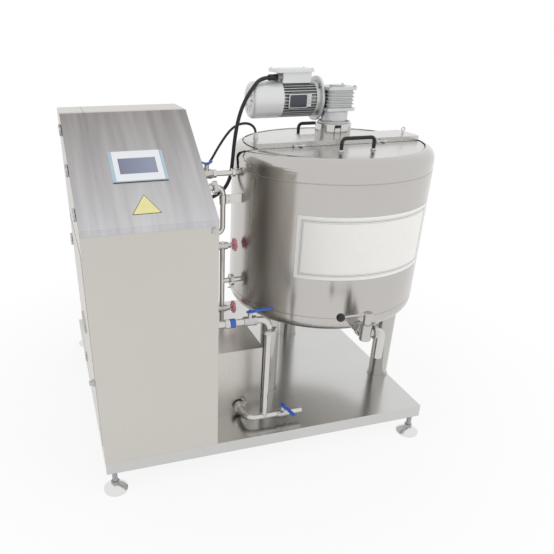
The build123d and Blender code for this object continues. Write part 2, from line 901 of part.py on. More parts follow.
# Motor stand: a polished drum with a top flange, bolted on the bridge
stand_foot = facing_up(tank_from_left, tank_from_front, bridge_top)
stand_flange = 8
with BuildPart() as motor_stand:
    with BuildSketch(stand_foot):
        Circle(stand_radius)
    extrude(amount=stand_height)
    with BuildSketch(stand_foot.offset(stand_flange)):
        Circle(stand_radius - stand_wall)
    extrude(amount=stand_height - 2 * stand_flange, mode=Mode.SUBTRACT)
    with BuildSketch(stand_foot):
        Circle(stand_bore)
    extrude(amount=stand_height, mode=Mode.SUBTRACT)
    fillet(motor_stand.faces().sort_by(Axis.Z)[-1].edges().sort_by(SortBy.LENGTH)[-1], 3)
save(motor_stand, "motor_stand")

# Gearbox: ribbed worm housing between two square flanges, on a round neck
neck_foot = stand_foot.offset(stand_height)
gearbox_foot = neck_foot.offset(neck_height)
gearbox_bottom = bridge_top + stand_height + neck_height
gearbox_rib_count = 4
neck_flange = 14
gearbox_lug = 11
worm_boss_radius = 42
motor_axis_height = gearbox_bottom + motor_axis_rise
motor_flange_left = tank_from_left - gearbox_flange_size / 2 - motor_flange_thickness
motor_face = facing_right(
    tank_from_left - gearbox_flange_size / 2, tank_from_front + motor_offset, motor_axis_height
)

with BuildPart() as gearbox_housing:
    with BuildSketch(neck_foot):
        Circle(neck_radius + neck_flange)
    extrude(amount=8)
    with BuildSketch(neck_foot):
        Circle(neck_radius)
    extrude(amount=neck_height)
    with BuildSketch(gearbox_foot):
        RectangleRounded(gearbox_size, gearbox_size, 22)
    extrude(amount=gearbox_height)
    for low in (0, gearbox_height - gearbox_flange):
        with BuildSketch(gearbox_foot.offset(low)):
            RectangleRounded(gearbox_flange_size, gearbox_flange_size, 14)
        extrude(amount=gearbox_flange)
    rib_space = (gearbox_height - 2 * gearbox_flange) / (gearbox_rib_count + 1)
    for rib in range(gearbox_rib_count):
        with BuildSketch(gearbox_foot.offset(gearbox_flange + (rib + 1) * rib_space - 2)):
            RectangleRounded(gearbox_size + 12, gearbox_size + 12, 24)
        extrude(amount=4)
    with BuildSketch(motor_face):
        Circle(motor_flange_radius / 2)
    extrude(amount=gearbox_flange_size / 2 - motor_core_radius / 2)
    with BuildSketch(facing_right(tank_from_left, tank_from_front + motor_offset, motor_axis_height)):
        Circle(worm_boss_radius)
    extrude(amount=gearbox_size / 2 + 4)
    with BuildSketch(gearbox_foot.offset(gearbox_height)):
        Circle(36)
    extrude(amount=5)
    with BuildSketch(neck_foot):
        Circle(shaft_radius + running)
    extrude(amount=neck_height + gearbox_height - gearbox_flange, mode=Mode.SUBTRACT)
save(gearbox_housing, "gearbox_housing")

# Motor: round flange, finned frame, and a fan cowl on the far end
motor_shield = 18
with BuildPart() as motor_flange:
    with BuildSketch(motor_face):
        Circle(motor_flange_radius)
    extrude(amount=-motor_flange_thickness)
    with BuildSketch(motor_face.offset(-motor_flange_thickness)):
        Circle(motor_flange_radius * 0.78)
    extrude(amount=-motor_shield, taper=12)
    fillet(motor_flange.edges().filter_by(GeomType.CIRCLE).group_by(SortBy.RADIUS)[-1], 2)
save(motor_flange, "motor_flange")

motor_start = motor_face.offset(-motor_flange_thickness - motor_shield)
motor_frame_length = motor_length - motor_shield
fin_depth = motor_radius - motor_core_radius
pad_width = 56
cowl_start = motor_start.offset(-motor_frame_length)
with BuildPart() as motor_body:
    with BuildSketch(motor_start):
        Circle(motor_core_radius)
        with PolarLocations((motor_core_radius + motor_radius) / 2, motor_fin_count):
            Rectangle(fin_depth + 2, motor_fin)
        with Locations((0, box_rise)):
            Rectangle(box_depth + 2, motor_radius, align=(Align.CENTER, Align.MIN), mode=Mode.SUBTRACT)
            Rectangle(pad_width, box_rise / 2, align=(Align.CENTER, Align.MAX))
    extrude(amount=-motor_frame_length)
    nameplate_seat = facing_front(
        motor_flange_left - motor_shield - motor_frame_length / 2, tank_from_front + motor_offset, motor_axis_height
    )
    with BuildSketch(nameplate_seat):
        with Locations((6, 0)):
            Rectangle(96, 58)
    extrude(amount=motor_radius - 1)
    with BuildSketch(cowl_start):
        Circle(motor_core_radius)
    extrude(amount=-30, taper=25)
save(motor_body, "motor_body")

cowl_slots = 10
with BuildPart() as fan_cowl:
    with BuildSketch(cowl_start):
        Circle(cowl_radius)
    extrude(amount=-cowl_length)
    fillet(fan_cowl.edges().group_by(Axis.X)[0], 20)
    with BuildSketch(cowl_start):
        Circle(cowl_radius - cowl_sheet)
    extrude(amount=-(cowl_length - 24), mode=Mode.SUBTRACT)
    with BuildSketch(cowl_start.offset(-cowl_length)):
        with PolarLocations(38, cowl_slots):
            SlotOverall(28, 6)
    extrude(amount=26, mode=Mode.SUBTRACT)
save(fan_cowl, "fan_cowl")

# Terminal box with its overhanging lid, and the cable gland in its end wall
box_from_left = motor_flange_left - motor_length + 1 + box_length / 2
box_middle_y = tank_from_front + motor_offset
box_foot = motor_axis_height + box_rise
with BuildPart() as terminal_box:
    with BuildSketch(facing_up(box_from_left, box_middle_y, box_foot)):
        RectangleRounded(box_length, box_depth, 8)
    extrude(amount=box_height)
    with BuildSketch(facing_up(box_from_left + box_lid_shift, box_middle_y, box_foot + box_height)):
        RectangleRounded(box_lid_length, box_lid_depth, 10)
    extrude(amount=box_lid_height)
    chamfer(terminal_box.edges().group_by(Axis.Z)[-1], 3)
save(terminal_box, "terminal_box")

gland_length = 67
gland_play = 1.2
gland_depth = 8
cable_in_gland = 3
gland_height = box_foot + box_height / 2 + 2
gland_from_front = box_middle_y - 28
gland_face = facing_right(box_from_left - box_length / 2, gland_from_front, gland_height)

# Cable routes
motor_cable_entry = (600, 1032)
probe_cable_entry = (612, 1146)
entry_gland_length = 30
probe_gland_length = 24
motor_cable_radius = motor_cable_diameter / 2
probe_cable_radius = probe_cable_diameter / 2
motor_cable_points = [
    (box_from_left - box_length / 2 - gland_length + cable_in_gland, gland_from_front, gland_height),
    (924, 610, 1579),
    (881, 582, 1545),
    (845, 581, 1496),
    (820, 588, 1432),
    (808, 598, 1366),
    (800, 605, 1290),
    (794, 608, 1205),
    (784, 606, 1130),
    (745, 602, 1072),
    (672, 600, 1040),
    (622, 600, 1033),
    (cabinet_width + entry_gland_length - cable_in_gland, *motor_cable_entry),
]
probe_x = tank_from_left + probe_from_axis_x
probe_y = tank_from_front + probe_from_axis_y
probe_cable_points = [
    (probe_x, probe_y, bridge_top + probe_height * 0.4 + 1),
    (probe_x, probe_y, bridge_top + 42),
    (893, 649, 1379),
    (848, 652, 1380),
    (806, 652, 1362),
    (768, 645, 1325),
    (727, 636, 1273),
    (693, 628, 1222),
    (650, 620, 1172),
    (606, 614, 1150),
    (cabinet_width + probe_gland_length - cable_in_gland, *probe_cable_entry),
]


def corner_radii(points):
    """Largest tangent arc at each corner that leaves room for its neighbours."""
    radii = []
    for before, here, after in zip(points, points[1:], points[2:]):
        run_in = Vector(*here) - Vector(*before)
        run_out = Vector(*after) - Vector(*here)
        half_turn = math.radians(run_in.get_angle(run_out)) / 2
        radii.append(0.45 * min(run_in.length, run_out.length) / math.tan(half_turn))
    return radii


def cable(points, radius, name):
    radii = corner_radii(points)
    print(name, "corner radii", [round(value) for value in radii])
    first = Vector(*at(*points[0]))
    heading = Vector(*at(*points[1])) - first
    with BuildPart() as run:
        with BuildLine() as route:
            FilletPolyline(*[at(*point) for point in points], radius=radii)
        with BuildSketch(Plane(origin=first, z_dir=heading)):
            Circle(radius)
        sweep()
    length = sum(edge.length for edge in route.line.edges())
    share = run.part.volume / (math.pi * radius**2 * length)
    print(name, "length", round(length), "volume over section times length", round(share, 4))
    return run


motor_cable = cable(motor_cable_points, motor_cable_radius, "motor_cable")
save(motor_cable, "motor_cable")
probe_cable = cable(probe_cable_points, probe_cable_radius, "probe_cable")
save(probe_cable, "probe_cable")

# Cable glands: one in the terminal box and two in the cabinet's right wall
gland_places = (
    (gland_face, -1, gland_length, motor_cable_radius),
    (facing_right(cabinet_width, *motor_cable_entry), 1, entry_gland_length, motor_cable_radius),
    (facing_right(cabinet_width, *probe_cable_entry), 1, probe_gland_length, probe_cable_radius),
)
with BuildPart() as cable_glands:
    for plane, way, length, bore in gland_places:
        with BuildSketch(plane):
            RegularPolygon(bore + 7, 6)
        extrude(amount=way * length * 0.55)
        with BuildSketch(plane.offset(way * length * 0.55)):
            Circle(bore + 5)
        extrude(amount=way * length * 0.45)
        with BuildSketch(plane.offset(way * length)):
            Circle(bore + gland_play)
        extrude(amount=-way * gland_depth, mode=Mode.SUBTRACT)
        chamfer(cable_glands.faces().sort_by(Axis.X)[0 if way < 0 else -1].edges().group_by(SortBy.LENGTH)[-1], 1.5)
save(cable_glands, "cable_glands")

# Drive bolts: gearbox feet on the stand, and the motor flange screws
with BuildPart() as drive_bolts:
    with BuildSketch(neck_foot.offset(8)):
        with PolarLocations(neck_radius + neck_flange / 2, 4, start_angle=45):
            RegularPolygon(6, 6)
    extrude(amount=5)
    with BuildSketch(motor_face.offset(-motor_flange_thickness)):
        with PolarLocations(motor_flange_radius - 12, 4, start_angle=45):
            RegularPolygon(8, 6)
    extrude(amount=-7)
    with BuildSketch(gearbox_foot.offset(gearbox_height)):
        with GridLocations(gearbox_flange_size - 24, gearbox_flange_size - 24, 2, 2):
            Circle(6)
    extrude(amount=5)
save(drive_bolts, "drive_bolts")

# Shaft seal: a bush in the bridge, with the agitator shaft running through it
seal_height = 22
with BuildPart() as shaft_seal:
    with BuildSketch(facing_up(tank_from_left, tank_from_front, bridge_top - bridge_sheet)):
        Circle(stand_bore)
        Circle(shaft_radius + running, mode=Mode.SUBTRACT)
    extrude(amount=seal_height)
save(shaft_seal, "shaft_seal")

# Agitator: a solid shaft and an anchor frame clear of the vessel wall
shaft_top = gearbox_bottom + gearbox_height - gearbox_flange - 2
with BuildPart() as agitator_shaft:
    with BuildSketch(facing_up(tank_from_left, tank_from_front, shaft_bottom)):
        Circle(shaft_radius)
    extrude(amount=shaft_top - shaft_bottom)
    chamfer(agitator_shaft.edges().group_by(Axis.Z)[0], 2)
save(agitator_shaft, "agitator_shaft")

anchor_bottom = shaft_bottom + 14
with BuildPart() as agitator_anchor:
    with BuildSketch(facing_up(tank_from_left, tank_from_front, anchor_bottom)):
        Rectangle(2 * anchor_radius, anchor_bar)
    extrude(amount=anchor_bar_width)
    with BuildSketch(facing_up(tank_from_left, tank_from_front, anchor_bottom)):
        with GridLocations(2 * anchor_radius - anchor_bar_width, 0, 2, 1):
            Rectangle(anchor_bar_width, anchor_bar)
    extrude(amount=anchor_top - anchor_bottom)
    with BuildSketch(facing_up(tank_from_left, tank_from_front, anchor_top - anchor_bar_width)):
        Rectangle(2 * anchor_radius, anchor_bar)
    extrude(amount=anchor_bar_width)
    for low in (anchor_bottom - 4, anchor_top - anchor_hub_height):
        with BuildSketch(facing_up(tank_from_left, tank_from_front, low)):
            Circle(anchor_hub_radius)
        extrude(amount=anchor_hub_height)
    with BuildSketch(facing_up(tank_from_left, tank_from_front, anchor_bottom - 5)):
        Circle(shaft_radius)
    extrude(amount=anchor_top, mode=Mode.SUBTRACT)
save(agitator_anchor, "agitator_anchor")

# Temperature probe: white head on the bridge with a thin rod in the vessel
probe_foot = facing_up(probe_x, probe_y, bridge_top)
with BuildPart() as temperature_probe:
    with BuildSketch(probe_foot):
        RegularPolygon(probe_radius, 6)
    extrude(amount=probe_height * 0.4)
    with BuildSketch(probe_foot.offset(probe_height * 0.4)):
        Circle(probe_radius * 0.72)
        Circle(probe_cable_radius + seat_gap, mode=Mode.SUBTRACT)
    extrude(amount=probe_height * 0.6)
    with BuildSketch(probe_foot):
        Circle(probe_rod_radius)
    extrude(amount=-probe_rod_length)
save(temperature_probe, "temperature_probe")


def pipe(points, radius, bend=None, wall=pipe_wall):
    """Thin tube along a route of points measured from the tray's corner."""
    first = Vector(*at(*points[0]))
    heading = Vector(*at(*points[1])) - first
    with BuildPart() as run:
        with BuildLine():
            if len(points) > 2:
                FilletPolyline(*[at(*point) for point in points], radius=bend)
            else:
                Line(at(*points[0]), at(*points[1]))
        with BuildSketch(Plane(origin=first, z_dir=heading)):
            Circle(radius)
            Circle(radius - wall, mode=Mode.SUBTRACT)
        sweep()
    return run.part


def collar(plane, radius, width, bore):
    """Ring centred on a plane, such as a ferrule, a clamp or a union nut."""
    with BuildPart() as ring:
        with BuildSketch(plane.offset(-width / 2)):
            Circle(radius)
            Circle(bore, mode=Mode.SUBTRACT)
        extrude(amount=width)
    return ring.part


# Clamped joints: each has two ferrules, a gasket and a clamp ring with a wing nut
drop_joint = facing_up(drop_from_left, supply_from_front, drop_clamp_height)
box_joint = facing_front(box_outlet_from_left, water_box_from_front - box_stub, drain_height)
bypass_joint = facing_right(bypass_clamp_from_left, riser_from_front, bypass_height)
branch_joint = facing_right(riser_from_left + 50, riser_from_front, branch_height)
spout_joint_from_left = outlet_from_left + cock_radius + cock_neck
spout_joint = facing_right(spout_joint_from_left, cock_from_front, outlet_height)
clamped_joints = (
    (drop_joint, pipe_radius, 20),
    (box_joint, pipe_radius, 40),
    (bypass_joint, small_pipe_radius, -30),
    (branch_joint, small_pipe_radius, 250),
    (spout_joint, outlet_radius, 60),
)
ferrule_offset = (clamp_gasket + ferrule_height) / 2


def ferrules(plane, bore):
    """The two flanges that a clamp draws together."""
    for way in (-1, 1):
        add(collar(plane.offset(way * ferrule_offset), ferrule_radius, ferrule_height, bore))


with BuildPart() as clamp_gaskets:
    for plane, bore, turn in clamped_joints:
        add(collar(plane, ferrule_radius, clamp_gasket, bore - pipe_wall))
save(clamp_gaskets, "clamp_gaskets")

clamp_lug = 12
wing_span = 28
with BuildPart() as pipe_clamps:
    for plane, bore, turn in clamped_joints:
        add(collar(plane, clamp_radius, clamp_width, ferrule_radius))
        lug = turned(plane, turn)
        with BuildSketch(lug.offset(-clamp_lug / 2)):
            with Locations((clamp_radius + 5, 0)):
                Rectangle(16, 20)
        extrude(amount=clamp_lug)
        bolt = Plane(origin=lug.origin + lug.x_dir * (clamp_radius + 8), z_dir=lug.y_dir)
        with BuildSketch(bolt):
            Circle(3)
        extrude(amount=30)
        with BuildSketch(bolt.offset(20)):
            Circle(6)
        extrude(amount=9)
        wing = Plane(origin=bolt.offset(24).origin, x_dir=lug.z_dir, z_dir=lug.y_dir)
        with BuildSketch(wing):
            SlotOverall(wing_span, 5)
        extrude(amount=9)
save(pipe_clamps, "pipe_clamps")

# Water box: closed tank on the deck beside the cabinet, with its outlet stub in front
water_box_foot = facing_up(
    cabinet_width + water_box_length / 2, water_box_from_front + water_box_depth / 2, 0
)
with BuildPart() as water_box:
    with BuildSketch(water_box_foot):
        Rectangle(water_box_length, water_box_depth)
    extrude(amount=water_box_height)
    fillet(water_box.edges().filter_by(Axis.Z), water_box_corner)
    with BuildSketch(water_box_foot.offset(water_box_sheet)):
        Rectangle(water_box_length - 2 * water_box_sheet, water_box_depth - 2 * water_box_sheet)
    extrude(amount=water_box_height - 2 * water_box_sheet, mode=Mode.SUBTRACT)
    with BuildSketch(facing_front(box_outlet_from_left, water_box_from_front, drain_height)):
        Circle(pipe_radius - pipe_wall)
    extrude(amount=-water_box_sheet, mode=Mode.SUBTRACT)
    with BuildSketch(facing_front(box_outlet_from_left, water_box_from_front, drain_height)):
        Circle(pipe_radius)
        Circle(pipe_radius - pipe_wall, mode=Mode.SUBTRACT)
    extrude(amount=box_stub - clamp_gasket / 2)
    add(collar(box_joint.offset(-ferrule_offset), ferrule_radius, ferrule_height, pipe_radius))
save(water_box, "water_box")

# Supply pipe: from the cabinet through its valve and down to the clamp
valve_end = ball_body_length / 2
supply_left = supply_valve_from_left - valve_end
supply_right = supply_valve_from_left + valve_end
joint_face = clamp_gasket / 2 + ferrule_height
with BuildPart() as supply_pipe:
    add(pipe([(cabinet_width, supply_from_front, supply_height),
              (supply_left, supply_from_front, supply_height)], pipe_radius))
    add(collar(facing_right(cabinet_width + supply_union_share * (supply_left - cabinet_width),
                            supply_from_front, supply_height), pipe_radius + 6, 22, pipe_radius))
    add(pipe([(supply_right, supply_from_front, supply_height),
              (drop_from_left, supply_from_front, supply_height),
              (drop_from_left, supply_from_front, drop_clamp_height + clamp_gasket / 2)],
             pipe_radius, pipe_bend))
    add(collar(drop_joint.offset(ferrule_offset), ferrule_radius, ferrule_height, pipe_radius))
save(supply_pipe, "supply_pipe")

# Return pipe: drop from the clamp, tee to the water box, and on to the drain valve
drain_left = drain_valve_from_left - valve_end
drain_right = drain_valve_from_left + valve_end
with BuildPart() as return_pipe:
    add(pipe([(box_outlet_from_left, water_box_from_front - box_stub - clamp_gasket / 2, drain_height),
              (box_outlet_from_left, supply_from_front, drain_height),
              (drain_left, supply_from_front, drain_height)], pipe_radius, pipe_bend))
    add(collar(box_joint.offset(ferrule_offset), ferrule_radius, ferrule_height, pipe_radius))
    with BuildSketch(facing_up(drop_from_left, supply_from_front, drain_height)):
        Circle(pipe_radius)
    extrude(amount=drop_clamp_height - drain_height - clamp_gasket / 2)
    add(collar(drop_joint.offset(-ferrule_offset), ferrule_radius, ferrule_height, pipe_radius))
    with BuildSketch(facing_up(drop_from_left, supply_from_front, drain_height)):
        Circle(pipe_radius - pipe_wall)
    extrude(amount=drop_clamp_height - drain_height, mode=Mode.SUBTRACT)
    with BuildSketch(facing_right(box_outlet_from_left + pipe_bend, supply_from_front, drain_height)):
        Circle(pipe_radius - pipe_wall)
    extrude(amount=drain_left - box_outlet_from_left - pipe_bend, mode=Mode.SUBTRACT)
    add(pipe([(drain_right, supply_from_front, drain_height),
              (drain_end_from_left, supply_from_front, drain_height)], drain_tail_radius))
save(return_pipe, "return_pipe")

# Ball valves: round bodies with hexagon ends and a bonnet for the lever's stem
return_valve_end = 26
valve_places = (
    (supply_valve_from_left, supply_from_front, supply_height, valve_end, pipe_radius),
    (drain_valve_from_left, supply_from_front, drain_height, valve_end, pipe_radius),
    (return_valve_from_left, return_from_front, return_height, return_valve_end, small_pipe_radius),
)
bonnet_radius = 11
bonnet_height = 44
stem_depth = 14
end_nut = 17
with BuildPart() as ball_valves:
    for x, y, z, half, bore in valve_places:
        body = facing_right(x - half, y, z)
        with BuildSketch(body):
            RegularPolygon(union_radius, 6)
        extrude(amount=end_nut)
        with BuildSketch(body.offset(2 * half - end_nut)):
            RegularPolygon(union_radius, 6)
        extrude(amount=end_nut)
        with BuildSketch(body):
            Circle(ball_body_radius - 3)
        extrude(amount=2 * half)
        with BuildSketch(facing_up(x, y, z)):
            Circle(bonnet_radius)
        extrude(amount=bonnet_height)
        with BuildSketch(body):
            Circle(bore - pipe_wall)
        extrude(amount=2 * half, mode=Mode.SUBTRACT)
        with BuildSketch(facing_up(x, y, z + bonnet_height - stem_depth)):
            Circle(lever_stem_radius + running)
        extrude(amount=stem_depth, mode=Mode.SUBTRACT)
save(ball_valves, "ball_valves")


def ball_lever(x, y, z, heading):
    """Cranked flat lever with its stem and nut, pointing along a heading in degrees."""
    hub = facing_up(x, y, z + bonnet_height + seat_gap)
    with BuildPart() as lever:
        with BuildSketch(facing_up(x, y, z + bonnet_height - stem_depth + 1)):
            Circle(lever_stem_radius)
        extrude(amount=stem_depth + 12)
        with BuildSketch(turned(hub, heading)):
            with Locations((4, 0)):
                SlotOverall(44, 22)
        extrude(amount=lever_sheet)
        crank = turned(hub, heading)
        side = Plane(origin=crank.origin - crank.y_dir * lever_width / 2, x_dir=crank.x_dir, z_dir=crank.y_dir)
        with BuildSketch(side):
            with BuildLine():
                Polyline(
                    (18, -0.1),
                    (26, -0.1),
                    (34, -4),
                    (lever_length, -4),
                    (lever_length, -4 - lever_sheet - 2),
                    (32, -4 - lever_sheet - 2),
                    (20, -lever_sheet),
                    close=True,
                )
            make_face()
        extrude(amount=lever_width)
        with BuildSketch(hub.offset(lever_sheet)):
            RegularPolygon(8, 6)
        extrude(amount=6)
    return lever


supply_lever = ball_lever(supply_valve_from_left, supply_from_front, supply_height, 0)
save(supply_lever, "supply_valve_lever")
drain_lever = ball_lever(drain_valve_from_left, supply_from_front, drain_height, -80)
save(drain_lever, "drain_valve_lever")

# Butterfly handle of the return valve: two curved wings on the stem
wing_length = 29
with BuildPart() as return_handle:
    with BuildSketch(facing_up(return_valve_from_left, return_from_front,
                               return_height + bonnet_height - stem_depth + 1)):
        Circle(lever_stem_radius)
    extrude(amount=stem_depth + 8)
    with BuildSketch(facing_front(return_valve_from_left, return_from_front + 6,
                                  return_height + bonnet_height + seat_gap)):
        with BuildLine():
            l1 = ThreePointArc((-wing_length, 12), (0, 1), (wing_length, 12))
            l2 = Line(l1 @ 1, (wing_length - 2, 20))
            l3 = ThreePointArc(l2 @ 1, (0, 10), (-wing_length + 2, 20))
            Line(l3 @ 1, l1 @ 0)
        make_face()
    extrude(amount=12)
save(return_handle, "return_valve_handle")

# Jacket riser: from the cabinet behind the water box, up past two valves, with a branch
riser_bend = 40
branch_wall = tank_from_left - math.sqrt(tank_radius**2 - (tank_from_front - riser_from_front) ** 2)
return_wall = tank_from_left - math.sqrt(tank_radius**2 - (tank_from_front - return_from_front) ** 2)
angle_body_radius = 19
angle_body_left = -22
angle_body_right = 26
with BuildPart() as jacket_riser:
    add(pipe([(cabinet_width, riser_from_front, riser_foot),
              (riser_from_left, riser_from_front, riser_foot),
              (riser_from_left, riser_from_front, lower_valve_height - angle_body_radius)],
             small_pipe_radius, riser_bend))
    add(pipe([(riser_from_left, riser_from_front, lower_valve_height + angle_body_radius),
              (riser_from_left, riser_from_front, upper_valve_height - angle_body_radius)], small_pipe_radius))
    with BuildSketch(facing_right(riser_from_left, riser_from_front, branch_height)):
        Circle(small_pipe_radius)
    extrude(amount=50 - clamp_gasket / 2)
    add(collar(branch_joint.offset(-ferrule_offset), ferrule_radius, ferrule_height, small_pipe_radius))
    with BuildSketch(facing_right(riser_from_left, riser_from_front, branch_height)):
        Circle(small_pipe_radius - pipe_wall)
    extrude(amount=50, mode=Mode.SUBTRACT)
    with BuildSketch(facing_up(riser_from_left, riser_from_front, lower_valve_height + angle_body_radius)):
        Circle(small_pipe_radius - pipe_wall)
    extrude(amount=upper_valve_height - lower_valve_height - 2 * angle_body_radius, mode=Mode.SUBTRACT)
    add(pipe([(riser_from_left + 50 + clamp_gasket / 2, riser_from_front, branch_height),
              (branch_wall + 6, riser_from_front, branch_height)], small_pipe_radius))
    add(collar(branch_joint.offset(ferrule_offset), ferrule_radius, ferrule_height, small_pipe_radius))
save(jacket_riser, "jacket_riser")

# Angle valves: bodies on the riser with bonnets towards the tank
bonnet_reach = 44
cabinet_link = riser_from_left + angle_body_left
with BuildPart() as angle_valves:
    for height in (upper_valve_height, lower_valve_height):
        body = facing_right(cabinet_link, riser_from_front, height)
        with BuildSketch(body):
            Circle(angle_body_radius)
        extrude(amount=angle_body_right - angle_body_left)
        with BuildSketch(body.offset(angle_body_right - angle_body_left)):
            RegularPolygon(14, 6)
        extrude(amount=bonnet_reach - angle_body_right)
        with BuildSketch(facing_up(riser_from_left, riser_from_front, height - angle_body_radius)):
            Circle(angle_body_radius - 3)
        extrude(amount=2 * angle_body_radius)
        with BuildSketch(facing_right(cabinet_width, riser_from_front, height)):
            Circle(small_pipe_radius)
        extrude(amount=cabinet_link - cabinet_width)
        stem_hole = facing_right(riser_from_left + bonnet_reach, riser_from_front, height)
        with BuildSketch(stem_hole):
            Circle(lever_stem_radius + running)
        extrude(amount=-stem_depth, mode=Mode.SUBTRACT)
save(angle_valves, "angle_valves")


def handwheel(height, name):
    """Lobed wheel with its stem, turning about the bonnet's axis."""
    wheel_plane = facing_right(riser_from_left + wheel_from_valve, riser_from_front, height)
    stem_start = facing_right(riser_from_left + bonnet_reach - stem_depth + 1, riser_from_front, height)
    with BuildPart() as wheel:
        with BuildSketch(wheel_plane.offset(-wheel_thickness / 2)):
            Circle(wheel_radius - 6)
            with PolarLocations(wheel_radius - 8, 6):
                Circle(8)
        extrude(amount=wheel_thickness)
        with BuildSketch(wheel_plane.offset(-wheel_thickness / 2)):
            with PolarLocations(wheel_radius - 15, 6, start_angle=30):
                Circle(4.5)
        extrude(amount=wheel_thickness, mode=Mode.SUBTRACT)
        with BuildSketch(stem_start):
            Circle(lever_stem_radius)
        extrude(amount=wheel_from_valve - bonnet_reach + stem_depth - 1)
        with BuildSketch(wheel_plane.offset(wheel_thickness / 2)):
            RegularPolygon(6, 6)
        extrude(amount=4)
    save(wheel, name)


handwheel(upper_valve_height, "upper_handwheel")
handwheel(lower_valve_height, "lower_handwheel")

# Jacket return: from the tank's wall through a valve to the cabinet
return_left = return_valve_from_left - return_valve_end
return_right = return_valve_from_left + return_valve_end
with BuildPart() as jacket_return:
    add(pipe([(return_right, return_from_front, return_height),
              (return_wall + 6, return_from_front, return_height)], small_pipe_radius))
    for x in (return_right + 12, return_wall - 26):
        add(collar(facing_right(x, return_from_front, return_height), pipe_radius + 4, union_width, small_pipe_radius))
    add(pipe([(cabinet_width, return_from_front, return_height),
              (return_left, return_from_front, return_height)], small_pipe_radius))
save(jacket_return, "jacket_return")

# Bypass pipe: leaves the cabinet through a clamp, drops and turns back into it
with BuildPart() as bypass_pipe:
    add(pipe([(cabinet_width, riser_from_front, bypass_height),
              (bypass_clamp_from_left - clamp_gasket / 2, riser_from_front, bypass_height)], small_pipe_radius))
    add(collar(bypass_joint.offset(-ferrule_offset), ferrule_radius, ferrule_height, small_pipe_radius))
    add(pipe([(bypass_clamp_from_left + clamp_gasket / 2, riser_from_front, bypass_height),
              (riser_from_left, riser_from_front, bypass_height),
              (riser_from_left, riser_from_front, bypass_foot),
              (cabinet_width, riser_from_front, bypass_foot)], small_pipe_radius, 32))
    add(collar(bypass_joint.offset(ferrule_offset), ferrule_radius, ferrule_height, small_pipe_radius))
save(bypass_pipe, "bypass_pipe")

# Pipe bracket: a strap from the bypass pipe to the tank's wall, with two screws
bracket_height = 1058
bracket_tall = 44
with BuildPart() as pipe_bracket:
    with BuildSketch(facing_up(riser_from_left, riser_from_front, bracket_height - bracket_tall / 2)):
        Circle(small_pipe_radius + 4)
        with Locations((small_pipe_radius + 1, 0)):
            Rectangle(branch_wall - riser_from_left - small_pipe_radius - 1 - 2 * seat_gap, 5,
                      align=(Align.MIN, Align.CENTER))
        Circle(small_pipe_radius, mode=Mode.SUBTRACT)
    extrude(amount=bracket_tall)
    with BuildSketch(facing_front(riser_from_left + 34, riser_from_front - 2.5, bracket_height)):
        with GridLocations(0, 26, 1, 2):
            RegularPolygon(6, 6)
    extrude(amount=5)
save(pipe_bracket, "pipe_bracket")

# Outlet: stub through the jacket, round nut, plug cock with its lever, bent spout
stub_inside = tank_from_front - math.sqrt(vessel_radius**2 - (tank_from_left - outlet_from_left) ** 2)
nut_back = outlet_nut_from_front + outlet_nut_length / 2
stub_plane = facing_front(outlet_from_left, stub_inside, outlet_height)
with BuildPart() as outlet_stub:
    with BuildSketch(stub_plane):
        Circle(outlet_radius)
        Circle(outlet_radius - outlet_wall, mode=Mode.SUBTRACT)
    extrude(amount=stub_inside - outlet_nut_from_front)
    with BuildSketch(facing_front(outlet_from_left, nut_back + 26, outlet_height)):
        Circle(outlet_radius + 6)
        Circle(outlet_radius - outlet_wall, mode=Mode.SUBTRACT)
    extrude(amount=9)
save(outlet_stub, "outlet_stub")

with BuildPart() as outlet_nut:
    with BuildSketch(facing_front(outlet_from_left, nut_back, outlet_height)):
        RegularPolygon(outlet_nut_radius, 6)
        Circle(outlet_radius, mode=Mode.SUBTRACT)
    extrude(amount=outlet_nut_length)
    chamfer(outlet_nut.edges().group_by(Axis.Y)[0].filter_by(GeomType.LINE), 2)
save(outlet_nut, "outlet_nut")

cock_bottom = outlet_height - cock_height * 0.42
cock_top = cock_bottom + cock_height
gland_top = cock_top + cock_gland_height - 14
with BuildPart() as outlet_cock:
    with BuildSketch(facing_up(outlet_from_left, cock_from_front, cock_bottom)):
        Circle(cock_radius)
    extrude(amount=cock_height)
    fillet(outlet_cock.edges().group_by(Axis.Z)[0], 6)
    with BuildSketch(facing_up(outlet_from_left, cock_from_front, cock_top)):
        Circle(cock_gland_radius)
    extrude(amount=cock_gland_height - 14)
    with BuildSketch(facing_front(outlet_from_left, outlet_nut_from_front, outlet_height)):
        Circle(outlet_radius)
    extrude(amount=outlet_nut_from_front - cock_from_front)
    with BuildSketch(facing_right(outlet_from_left, cock_from_front, outlet_height)):
        Circle(outlet_radius)
    extrude(amount=cock_radius + cock_neck - clamp_gasket / 2)
    add(collar(spout_joint.offset(-ferrule_offset), ferrule_radius, ferrule_height, outlet_radius))
    with BuildSketch(facing_front(outlet_from_left, outlet_nut_from_front, outlet_height)):
        Circle(outlet_radius - outlet_wall)
    extrude(amount=outlet_nut_from_front - cock_from_front, mode=Mode.SUBTRACT)
    with BuildSketch(facing_right(outlet_from_left, cock_from_front, outlet_height)):
        Circle(outlet_radius - outlet_wall)
    extrude(amount=cock_radius + cock_neck, mode=Mode.SUBTRACT)
    with BuildSketch(facing_up(outlet_from_left, cock_from_front, gland_top - 30)):
        Circle(outlet_lever_radius + 4 + running)
    extrude(amount=30, mode=Mode.SUBTRACT)
save(outlet_cock, "outlet_cock")

